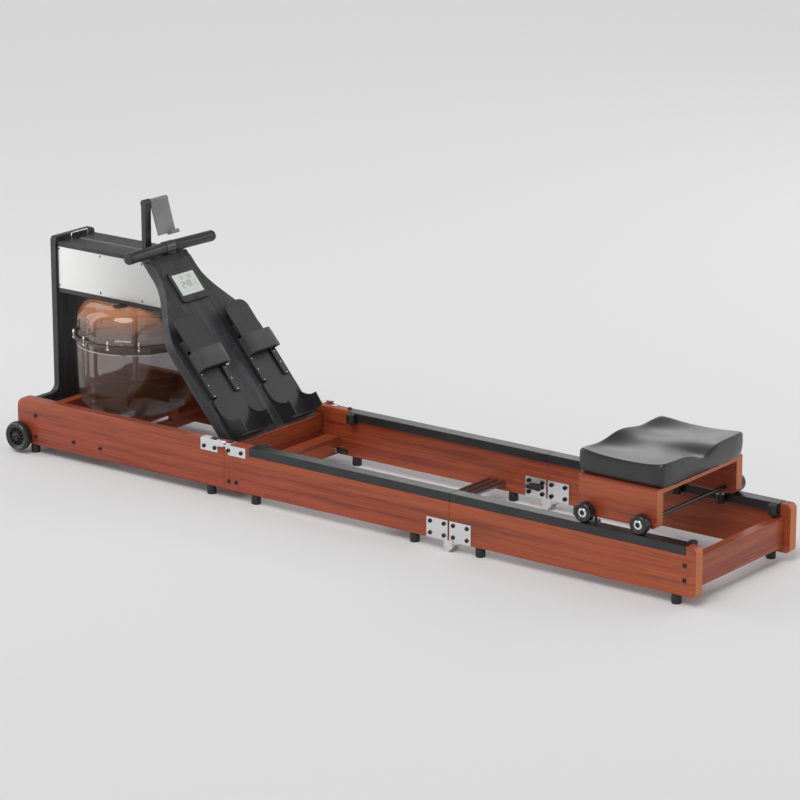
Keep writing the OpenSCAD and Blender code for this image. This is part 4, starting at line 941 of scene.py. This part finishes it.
class ROWER_OT_wheels(bpy.types.Operator):
    """Builds the transport wheels with their crowned tyres and spokes"""

    bl_idname = "rower.wheels"
    bl_label = "Transport wheels"

    def execute(self, context):
        sizes = context.scene.rower_sizes
        for node in ("left_wheel", "right_wheel"):
            low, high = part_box(node)
            middle = Matrix.Translation((low + high) / 2)
            radius = (high.z - low.z) / 2
            half = (high.y - low.y) / 2
            tyre = self.tyre(radius, half, sizes.tyre_crown)
            place(moved(tyre, middle), node + "_tyre", "tyre", node, (node,))
            hub = self.hub(radius, half, sizes.spoke_count)
            place(moved(hub, middle), node + "_hub", "grey_plastic", node)
        return {"FINISHED"}

    def tyre(self, radius, half, crown):
        bead = radius * 0.68
        profile = [(bead, -half * 0.8), (radius * 0.76, -half * 0.92), (radius * 0.86, -half)]
        count = 10
        for i in range(count + 1):
            t = -1 + 2 * i / count
            profile.append((radius - crown * abs(t) ** 2.4 - 0.8 * MM * abs(t) ** 8, half * 0.9 * t))
        profile += [(radius * 0.86, half), (radius * 0.76, half * 0.92), (bead, half * 0.8)]
        return turned(profile, ACROSS, 64, ring=True)

    def hub(self, radius, half, spokes):
        bm = bmesh.new()
        rim = radius * 0.68
        boss = radius * 0.27
        bore = 5.1 * MM
        rim_profile = rounded([
            (rim * 0.9, -half * 0.7), (rim + 0.2 * MM, -half * 0.84), (rim + 0.2 * MM, half * 0.84),
            (rim * 0.9, half * 0.7)], 1 * MM, 3)
        add(bm, turned(rim_profile, ACROSS, 64, ring=True))
        add(bm, turned(rounded([
            (bore, -half), (boss, -half), (boss * 1.2, -half * 0.5), (boss * 1.2, half * 0.5), (boss, half),
            (bore, half)], 1 * MM, 3), ACROSS, 48, ring=True))
        web = turned([(boss, -1.5 * MM), (rim * 0.92, -1.5 * MM), (rim * 0.92, 1.5 * MM), (boss, 1.5 * MM)],
                     ACROSS, 48, ring=True)
        add(bm, web)
        for i in range(spokes):
            spoke = slab(
                (boss * 0.9, -half * 0.62, -1.1 * MM), (rim * 0.95, half * 0.62, 1.1 * MM), 0.7 * MM, 2)
            add(bm, spoke, Matrix.Rotation(math.tau * i / spokes, 4, "Y"))
        return bm


# Tower

class ROWER_OT_tower(bpy.types.Operator):
    """Builds the front board, the deck and shelf, the side panels and the footboard"""

    bl_idname = "rower.tower"
    bl_label = "Tower and footboard"

    def execute(self, context):
        sizes = context.scene.rower_sizes
        dress("front_board", "black_wood_z", sizes.board_edge)
        dress("tower_shelves", "black_wood_x", sizes.metal_edge, 2, shortest=8.0)
        dress("footboard", "black_wood_slope", sizes.board_edge)
        dress("side_panels", "panel_metal", sizes.metal_edge)
        return {"FINISHED"}


class ROWER_OT_console(bpy.types.Operator):
    """Builds the console case, its display with plain figures and its button"""

    bl_idname = "rower.console"
    bl_label = "Console"

    ink_height = 0.06 * MM
    segments = {
        "0": "abcdef", "1": "bc", "2": "abdeg", "3": "abcdg", "4": "bcfg", "5": "acdfg", "6": "acdefg",
        "7": "abc", "8": "abcdefg", "9": "abcdfg"}

    def execute(self, context):
        edge = context.scene.rower_sizes.plastic_edge
        dress("console_case", "grey_plastic", edge)
        dress("console_button", "rubber", edge / 3)
        dress("console_screen", "screen", edge / 4)
        self.figures()
        return {"FINISHED"}

    def figures(self):
        """Rows of plain figures: each row's text, its left side, foot and height in millimetres."""
        board, points = board_points("console_screen")
        top = min(p.x for p in points)
        face = max(p.z for p in points)
        ink = bmesh.new()
        rows = (("12", -20, 17, 10), ("30", 10, 17, 10), ("248", -22, 40, 17), ("5", 24, 42, 12))
        pitch = 0.72
        colon_dots = (13, 21)
        colon_left, colon_right = 4.2 * MM, 5.8 * MM
        dot_half = 0.8
        rules = (26, 50)
        rule_half = 35 * MM
        rule_thick = 0.4
        for text, start, down, height in rows:
            for i, figure in enumerate(text):
                left = (start + i * height * pitch) * MM
                self.figure(ink, figure, left, top + down * MM, height * MM, face)
        ink_top = face + self.ink_height
        for spot in colon_dots:
            dot_from, dot_to = top + (spot - dot_half) * MM, top + (spot + dot_half) * MM
            add(ink, slab((dot_from, colon_left, face), (dot_to, colon_right, ink_top), 0))
        for line in rules:
            line_from, line_to = top + line * MM, top + (line + rule_thick) * MM
            add(ink, slab((line_from, -rule_half, face), (line_to, rule_half, ink_top), 0))
        bmesh.ops.transform(ink, matrix=board, verts=ink.verts)
        place(ink, "screen_figures", "screen_ink", "console_screen")

    def figure(self, ink, figure, y, u, height, face):
        """One seven bar figure, its foot at u and its left side at y."""
        stroke = height * 0.11
        width = height * 0.5
        half = height / 2
        bars = {
            "a": (u - height, y, 0), "g": (u - half, y, 0), "d": (u, y, 0),
            "f": (u - height, y, 1), "b": (u - height, y + width, 1),
            "e": (u - half, y, 1), "c": (u - half, y + width, 1)}
        for letter in self.segments[figure]:
            bar_u, bar_y, upright = bars[letter]
            size_u = half - stroke if upright else stroke
            size_y = stroke if upright else width - stroke
            inset = stroke / 2 if upright else -stroke / 2
            low = (bar_u + inset, bar_y - inset, face)
            add(ink, slab(low, (low[0] + size_u, low[1] + size_y, face + self.ink_height), 0))


class ROWER_OT_foot_rests(bpy.types.Operator):
    """Builds the toe plates, heel plates, foot straps and strap rings"""

    bl_idname = "rower.foot_rests"
    bl_label = "Foot rests"

    def execute(self, context):
        edge = context.scene.rower_sizes.plastic_edge
        dress("toe_plates", "black_plastic", edge * 1.4)
        for node in ("left_heel_plate", "right_heel_plate"):
            dress(node, "black_plastic", edge)
        dress("strap_buckles", "chrome", edge)
        self.straps()
        self.tails()
        self.index_marks()
        return {"FINISHED"}

    def straps(self):
        """Webbing bands that arch over the toe plates."""
        board, points = board_points("foot_straps")
        thick = 3 * MM
        start = min(p.x for p in points)
        width = max(p.x for p in points) - start
        leg = min(p.z for p in points)
        top = max(p.z for p in points) - thick / 2
        outer = max(p.y for p in points)
        inner = min(p.y for p in points if p.y > 0)
        centre = (outer + inner) / 2
        half = (outer - inner) / 2 - thick / 2
        shoulder = 27 * MM
        rear_drop = 7 * MM
        drop_from = 0.45
        front_drop = 1.2 * MM
        bands = bmesh.new()
        for side in (-1, 1):
            band = bmesh.new()
            path = [(half, leg)]
            count = 36
            for i in range(count + 1):
                a = math.pi * i / count
                c = math.cos(a)
                path.append((
                    half * math.copysign(abs(c) ** 0.4, c) if abs(c) > WELD else 0.0,
                    shoulder + (top - shoulder) * math.sin(a) ** 0.8))
            path.append((-half, leg))
            row = chain(band, [(start, y, n) for y, n in path])[1]
            rows = 10
            for _ in range(rows):
                made = bmesh.ops.extrude_edge_only(band, edges=row)["geom"]
                row = [g for g in made if isinstance(g, bmesh.types.BMEdge)]
                bmesh.ops.translate(band, vec=(width / rows, 0, 0), verts=verts_of(made))
            for vert in band.verts:
                share = (vert.co.x - start) / width
                lift = max(0.0, (vert.co.z - shoulder) / (top - shoulder))
                vert.co.z -= rear_drop * lift * max(0.0, share - drop_from) ** 1.4 / (1 - drop_from) ** 1.4
                vert.co.z -= front_drop * lift * (1 - share)
            bmesh.ops.recalc_face_normals(band, faces=band.faces)
            if sum(f.normal.z for f in band.faces) > 0:
                bmesh.ops.reverse_faces(band, faces=band.faces)
            bmesh.ops.solidify(band, geom=band.faces, thickness=-thick / 2)
            bmesh.ops.recalc_face_normals(band, faces=band.faces)
            add(bands, band, Matrix.Translation((0, side * centre, 0)))
        bmesh.ops.transform(bands, matrix=board, verts=bands.verts)
        stand_in(bands, "foot_straps", "webbing_slope", crease=50.0)

    def tails(self):
        """The end of each strap, folded back beyond its ring."""
        board, rings = board_points("strap_buckles")
        bands = board_points("foot_straps")[1]
        start = min(p.x for p in bands) + 2 * MM
        end = max(p.x for p in bands) - 2 * MM
        level = (min(p.z for p in rings) + max(p.z for p in rings)) / 2
        reach = 12 * MM
        thick = 5 * MM
        ends = bmesh.new()
        for side in (-1, 1):
            outer = max(p.y for p in rings if p.y * side > 0)
            fold = slab(
                (start, outer - MM, level - thick / 2), (end, outer + reach, level + thick / 2), 2.2 * MM, 4)
            add(ends, fold)
        bmesh.ops.transform(ends, matrix=board, verts=ends.verts)
        place(ends, "strap_tails", "webbing_slope", "foot_straps")

    def index_marks(self):
        """Small round studs that show the foot length setting."""
        board, points = board_points("toe_plates")
        guide_top = sorted({round(p.z, 5) for p in points if p.x > max(q.x for q in points) - 1 * MM})[-1]
        end = max(p.x for p in points)
        y_out = max(p.y for p in points if p.x > end - 1 * MM)
        guide_half = 7 * MM
        studs = bmesh.new()
        outline = [(0, 0.9 * MM), (1.1 * MM, 0.9 * MM), (1.9 * MM, 0), (0, -1 * MM)]
        stud = turned(rounded(outline, 0.3 * MM, 2), UP, 16)
        plate_gap = 90 * MM
        for y in (y_out - guide_half, y_out - guide_half - plate_gap):
            for side in (-1, 1):
                for back in (3, 34, 66):
                    add(studs, stud, board @ Matrix.Translation((end - back * MM, side * y, guide_top)))
        place(studs, "foot_index_studs", "chrome", "strap_buckles")


# Water tank

class ROWER_OT_tank(bpy.types.Operator):
    """Builds the tinted bowl and lobed dome, gasket, studs, plug, water and level mark"""

    bl_idname = "rower.tank"
    bl_label = "Water tank"

    def execute(self, context):
        sizes = context.scene.rower_sizes
        low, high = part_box("tank_bowl")
        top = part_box("tank_dome")[1].z
        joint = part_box("tank_dome")[0].z
        rim = (high.x - low.x) / 2
        gasket_low, gasket_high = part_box("tank_gasket")
        radius = (gasket_high.x - gasket_low.x) / 2 - 2 * MM
        axis = Matrix.Translation(((low.x + high.x) / 2, 0, 0))
        flange = 4.5 * MM
        self.bowl(axis, radius, rim, low.z, high.z, flange, sizes)
        self.dome(axis, radius - 2 * MM, rim, joint, top, flange, sizes)
        self.water(axis, radius - sizes.tank_wall, sizes.water_level)
        self.level_mark(axis, radius, sizes.water_level)
        dress("tank_gasket", "rubber", sizes.metal_edge, 2, shortest=0.5)
        dress("tank_studs", "chrome", sizes.metal_edge, 2, shortest=3.0)
        dress("fill_plug", "rubber", sizes.metal_edge / 2, 2, shortest=0.5)
        return {"FINISHED"}

    def arc(self, centre, radius, start, end, steps=14):
        turns = [start + (end - start) * i / steps for i in range(steps + 1)]
        return [(centre[0] + radius * math.cos(a), centre[1] + radius * math.sin(a)) for a in turns]

    def bowl(self, axis, radius, rim, bottom, top, flange, sizes):
        corner = sizes.bowl_round
        centre = (radius - corner, bottom + corner)
        wall = sizes.tank_wall
        low = math.radians(-90)
        outer = [(0, bottom)] + self.arc(centre, corner, low, 0)
        lip = rounded([
            (radius, top - flange - 6 * MM), (radius, top - flange), (rim, top - flange), (rim, top),
            (radius - wall, top), (radius - wall, top - 8 * MM)], 1.2 * MM, 3)
        inner = self.arc(centre, corner - wall, 0, low) + [(0, bottom + wall)]
        shell = turned(outer + lip + inner, UP, 128)
        stand_in(moved(shell, axis), "tank_bowl", "smoke_tank", crease=50.0)

    def dome(self, axis, radius, rim, joint, top, flange, sizes):
        wall = sizes.tank_wall
        shoulder = sizes.dome_round
        centre = (radius - shoulder, top - shoulder)
        neck = 14.15 * MM
        rows = 12
        side_low = joint + flange
        rise = centre[1] - side_low
        lip = rounded([
            (radius - wall, joint + 3 * MM), (radius - wall, joint), (rim, joint), (rim, side_low),
            (radius, side_low), (radius, side_low + 2 * MM)], 1.2 * MM, 3)
        outer = [(radius, side_low + rise * i / rows) for i in range(1, rows)]
        outer += self.arc(centre, shoulder, 0, math.pi / 2, 20)
        inner = self.arc(centre, shoulder - wall, math.pi / 2, 0, 20)
        inner += [(radius - wall, side_low + rise * (rows - i) / rows) for i in range(1, rows)]
        shell = turned(lip + outer + [(neck, top), (neck, top - wall)] + inner, UP, 160, ring=True)
        arch_low = side_low + 3 * MM
        arch_rise = 50 * MM
        first_arch = math.radians(-72.5)
        blend = 7 * MM
        for vert in shell.verts:
            reach = math.hypot(vert.co.x, vert.co.y)
            if reach < radius - shoulder or vert.co.z < side_low + MM:
                continue
            turn = (math.atan2(vert.co.y, vert.co.x) - first_arch) * sizes.lobe_count / 2
            arch = arch_low + arch_rise * math.sqrt(abs(math.cos(turn)))
            inside = min(1.0, max(0.0, (arch - vert.co.z) / blend))
            above = min(1.0, max(0.0, (vert.co.z - arch_low) / blend))
            ease = inside * inside * (3 - 2 * inside) * above * above * (3 - 2 * above)
            share = (reach - sizes.lobe_depth * ease) / reach
            vert.co.x *= share
            vert.co.y *= share
        stand_in(moved(shell, axis), "tank_dome", "smoke_tank", crease=50.0)

    def water(self, axis, radius, level):
        gap = 0.4 * MM
        depth = 1.6 * MM
        disc = turned(rounded([
            (0, level), (radius - 3 * MM, level), (radius - gap, level + 0.8 * MM),
            (radius - gap, level - depth), (0, level - depth)], 1 * MM, 3), UP, 96)
        place(moved(disc, axis), "water_surface", "water", "tank_bowl")

    def level_mark(self, axis, radius, level):
        """A thin printed line round the bowl with a break in it."""
        height = 1.1 * MM
        proud = 0.08 * MM
        gap_at = math.radians(-61)
        gap_half = math.radians(3)
        band = turned([
            (radius - proud, level - height), (radius + proud, level - height), (radius + proud, level),
            (radius - proud, level)], UP, 180, ring=True)
        broken = [f for f in band.faces if abs(math.atan2(
            f.calc_center_median().y, f.calc_center_median().x) - gap_at) < gap_half]
        bmesh.ops.delete(band, geom=broken, context="FACES")
        bmesh.ops.holes_fill(band, edges=[e for e in band.edges if e.is_boundary])
        place(moved(band, axis), "water_level_mark", "level_mark", "tank_bowl")


class ROWER_OT_drive(bpy.types.Operator):
    """Builds the impeller, its shaft and bearing, the recoil spring, drum and strap roller"""

    bl_idname = "rower.drive"
    bl_label = "Impeller and strap drum"

    def execute(self, context):
        sizes = context.scene.rower_sizes
        dress("impeller", "grey_plastic", sizes.plastic_edge)
        dress("impeller_shaft", "spring_steel", sizes.metal_edge, 2, shortest=0.5)
        dress("shaft_bearing", "black_plastic", sizes.metal_edge, 2, shortest=0.5)
        dress("recoil_spring", "spring_steel", 0)
        dress("strap_drum", "black_plastic", sizes.metal_edge, 2, shortest=0.5)
        dress("strap_roller", "grey_plastic", sizes.metal_edge, 2, shortest=0.5)
        dress("strap_guide", "chrome", 0)
        return {"FINISHED"}


# Handle, strap and phone holder

class ROWER_OT_handle(bpy.types.Operator):
    """Builds the handle bar with its clamp and foam grips"""

    bl_idname = "rower.handle"
    bl_label = "Handle"

    def execute(self, context):
        edge = context.scene.rower_sizes.plastic_edge
        bend = math.radians(3.5)
        inner = 19 * MM
        low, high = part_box("handle_grips")
        radius = (high.z - low.z) / 2
        centre = Vector((low.x + radius * math.cos(bend) - inner * math.sin(bend), 0, (low.z + high.z) / 2))
        half = (high.y - radius * math.sin(bend)) / math.cos(bend)
        grips = bmesh.new()
        for side in (-1, 1):
            profile = rounded([
                (10.2 * MM, inner), (radius, inner), (radius, inner + 3 * MM),
                (radius * 0.93, inner + 3.6 * MM),
                (radius * 0.93, inner + 5 * MM), (radius, inner + 5.6 * MM), (radius, half - 11 * MM),
                (radius * 0.965, half - 10.5 * MM), (radius * 0.965, half - 9.5 * MM),
                (radius, half - 9 * MM),
                (radius, half - 4 * MM), (radius * 0.86, half), (0, half)], 1.2 * MM, 3)
            grip = turned([(r, side * y) for r, y in profile], ACROSS, 48)
            add(grips, grip, Matrix.Translation(centre) @ Matrix.Rotation(-side * bend, 4, "Z"))
        stand_in(grips, "handle_grips", "foam_grip")
        dress("handle_bar", "clamp_plastic", edge, shortest=3.0)
        return {"FINISHED"}


class ROWER_OT_pull_strap(bpy.types.Operator):
    """Builds the pull strap: a run from the handle round the roller, and the turns on the drum"""

    bl_idname = "rower.pull_strap"
    bl_label = "Pull strap"

    def execute(self, context):
        low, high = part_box("pull_strap")
        roller_low, roller_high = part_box("strap_roller")
        thick = 1.5 * MM
        width = 16 * MM
        roller = (roller_low + roller_high) / 2
        wrap = (roller_high.z - roller_low.z) / 2 + 0.1 * MM + thick / 2
        run = self.run(roller, wrap, high.x, width, thick)
        run.parent = None
        del run["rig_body"]
        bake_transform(run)
        self.wound(low, high, width)
        return {"FINISHED"}

    def run(self, roller, wrap, end_x, width, thick):
        """The band from the handle to the roller and round it."""
        top = roller.z + wrap
        pieces = 60
        path = [(end_x + (roller.x - end_x) * i / pieces, top) for i in range(pieces)]
        path += [
            (roller.x - wrap * math.sin(a), roller.z + wrap * math.cos(a))
            for a in (math.pi * i / 16 for i in range(17))]
        path.append((roller.x + 20 * MM, roller.z - wrap))
        band = bmesh.new()
        edges = chain(band, [(x, -width / 2, z) for x, z in path])[1]
        made = bmesh.ops.extrude_edge_only(band, edges=edges)["geom"]
        bmesh.ops.translate(band, vec=(0, width, 0), verts=verts_of(made))
        bmesh.ops.recalc_face_normals(band, faces=band.faces)
        bmesh.ops.solidify(band, geom=band.faces, thickness=thick)
        bmesh.ops.recalc_face_normals(band, faces=band.faces)
        shift = top + thick / 2 - max(v.co.z for v in band.verts)
        bmesh.ops.translate(band, vec=(0, 0, shift), verts=band.verts)
        return place(band, "pull_strap_run", "webbing_x", "pull_strap", ("pull_strap",), crease=50.0)

    def wound(self, low, high, width):
        """The outer turns on the drum, as stepped layers."""
        drum_low, drum_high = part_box("strap_drum")
        centre = (drum_low + drum_high) / 2
        radius = 30 * MM
        core = 25.6 * MM
        flange_z = drum_high.z - 21 * MM / 2
        profile = [(core, flange_z - width / 2)]
        layers = 3
        for i in range(layers + 1):
            r = core + (radius - core) * i / layers
            profile.append((r, flange_z - width / 2 + 0.2 * MM * (i % 2)))
        profile += [
            (radius + 0.4 * MM, flange_z), (radius, flange_z + width / 2), (core, flange_z + width / 2)]
        turns = turned(profile, UP, 64, ring=True)
        place(
            moved(turns, Matrix.Translation((centre.x, 0, 0))), "pull_strap_turns", "webbing_x",
            "strap_drum", slot=SLOTS["pull_strap"])


class ROWER_OT_phone_holder(bpy.types.Operator):
    """Builds the phone holder's post and tilting plate"""

    bl_idname = "rower.phone_holder"
    bl_label = "Phone holder"

    def execute(self, context):
        edge = context.scene.rower_sizes.plastic_edge
        dress("phone_post", "black_plastic", edge)
        dress("phone_plate", "satin_grey", edge)
        return {"FINISHED"}


# Seat

class ROWER_OT_seat(bpy.types.Operator):
    """Builds the saddle pad and the wooden carriage under it"""

    bl_idname = "rower.seat"
    bl_label = "Seat"

    def execute(self, context):
        pad = bmesh.new()
        pad.from_mesh(frame["nodes"]["seat_pad"].data)
        bmesh.ops.remove_doubles(pad, verts=pad.verts, dist=WELD)
        bmesh.ops.join_triangles(
            pad, faces=pad.faces, angle_face_threshold=math.radians(60),
            angle_shape_threshold=math.radians(180))
        firm = pad.edges.layers.float.new("crease_edge")
        for edge in pad.edges:
            if len(edge.link_faces) == 2 and edge.calc_face_angle() > math.radians(28):
                edge[firm] = 0.6
        piece = stand_in(pad, "seat_pad", "seat_skin", crease=80.0)
        subdivision = piece.modifiers.new("smooth skin", "SUBSURF")
        subdivision.levels = 2
        subdivision.render_levels = 2
        dress("seat_boards", "cherry_x", context.scene.rower_sizes.board_edge / 2, shortest=4.0)
        return {"FINISHED"}


class ROWER_OT_rollers(bpy.types.Operator):
    """Builds the seat's rollers with their axles and the side guide rollers"""

    bl_idname = "rower.rollers"
    bl_label = "Seat rollers"

    def execute(self, context):
        for node in ("front_rollers", "rear_rollers"):
            self.pair(node)
        for place_name in ("front_left", "front_right", "rear_left", "rear_right"):
            dress("guide_roller_" + place_name, "grey_plastic", 0.8 * MM, 3, shortest=0.5)
        return {"FINISHED"}

    def pair(self, node):
        low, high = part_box(node)
        centre = (low + high) / 2
        radius = (high.z - low.z) / 2
        width = 24 * MM
        outer = high.y
        axle = 5 * MM
        tyres = bmesh.new()
        rings = bmesh.new()
        for side in (-1, 1):
            tyre = turned([(r, side * y) for r, y in rounded([
                (0, outer - 6 * MM), (8 * MM, outer - 6 * MM), (9 * MM, outer - 2.4 * MM),
                (radius - 8 * MM, outer - 2.4 * MM),
                (radius - 7 * MM, outer - 0.4 * MM), (radius - 3 * MM, outer), (radius, outer - 2.4 * MM),
                (radius, outer - width + 2 * MM), (radius - 2 * MM, outer - width), (9 * MM, outer - width),
                (9 * MM, outer - width - 8 * MM), (axle, outer - width - 8 * MM), (axle, 0)], 0.9 * MM, 3)],
                ACROSS, 56)
            add(tyres, tyre, Matrix.Translation(centre))
            ring = turned([(r, side * y) for r, y in rounded([
                (6.2 * MM, outer - 5 * MM), (6.2 * MM, outer - 1.2 * MM), (9.6 * MM, outer - 0.8 * MM),
                (11.4 * MM, outer - 2.0 * MM), (11.4 * MM, outer - 5 * MM)], 0.5 * MM, 3)],
                ACROSS, 48, ring=True)
            add(rings, ring, Matrix.Translation(centre))
        place(tyres, node + "_tyres", "tyre", node, (node,))
        place(rings, node + "_rings", "chrome", node)


class ROWER_PT_pieces(bpy.types.Panel):
    """Lists the sizes, the colours and the pieces"""

    bl_label = "Water rowing machine"
    bl_idname = "ROWER_PT_pieces"
    bl_space_type = "VIEW_3D"
    bl_region_type = "UI"
    bl_category = "Rower"

    def draw(self, context):
        layout = self.layout
        for group in (context.scene.rower_sizes, context.scene.rower_finishes):
            for name in group.__annotations__:
                layout.prop(group, name)
        for operator in OPERATORS:
            layout.operator(operator.bl_idname)


OPERATORS = (
    ROWER_OT_stage, ROWER_OT_rails, ROWER_OT_tracks, ROWER_OT_hinges, ROWER_OT_bolts, ROWER_OT_feet,
    ROWER_OT_wheels, ROWER_OT_tower, ROWER_OT_console, ROWER_OT_foot_rests, ROWER_OT_tank, ROWER_OT_drive,
    ROWER_OT_handle, ROWER_OT_pull_strap, ROWER_OT_phone_holder, ROWER_OT_seat, ROWER_OT_rollers)
CLASSES = (RowerSizes, RowerFinishes, *OPERATORS, ROWER_PT_pieces)


def register():
    for cls in CLASSES:
        bpy.utils.register_class(cls)
    bpy.types.Scene.rower_sizes = PointerProperty(type=RowerSizes)
    bpy.types.Scene.rower_finishes = PointerProperty(type=RowerFinishes)


def unregister():
    del bpy.types.Scene.rower_finishes
    del bpy.types.Scene.rower_sizes
    for cls in reversed(CLASSES):
        bpy.utils.unregister_class(cls)


def main():
    register()
    for operator in OPERATORS:
        group, name = operator.bl_idname.split(".")
        getattr(getattr(bpy.ops, group), name)()


if __name__ == "__main__":
    main()
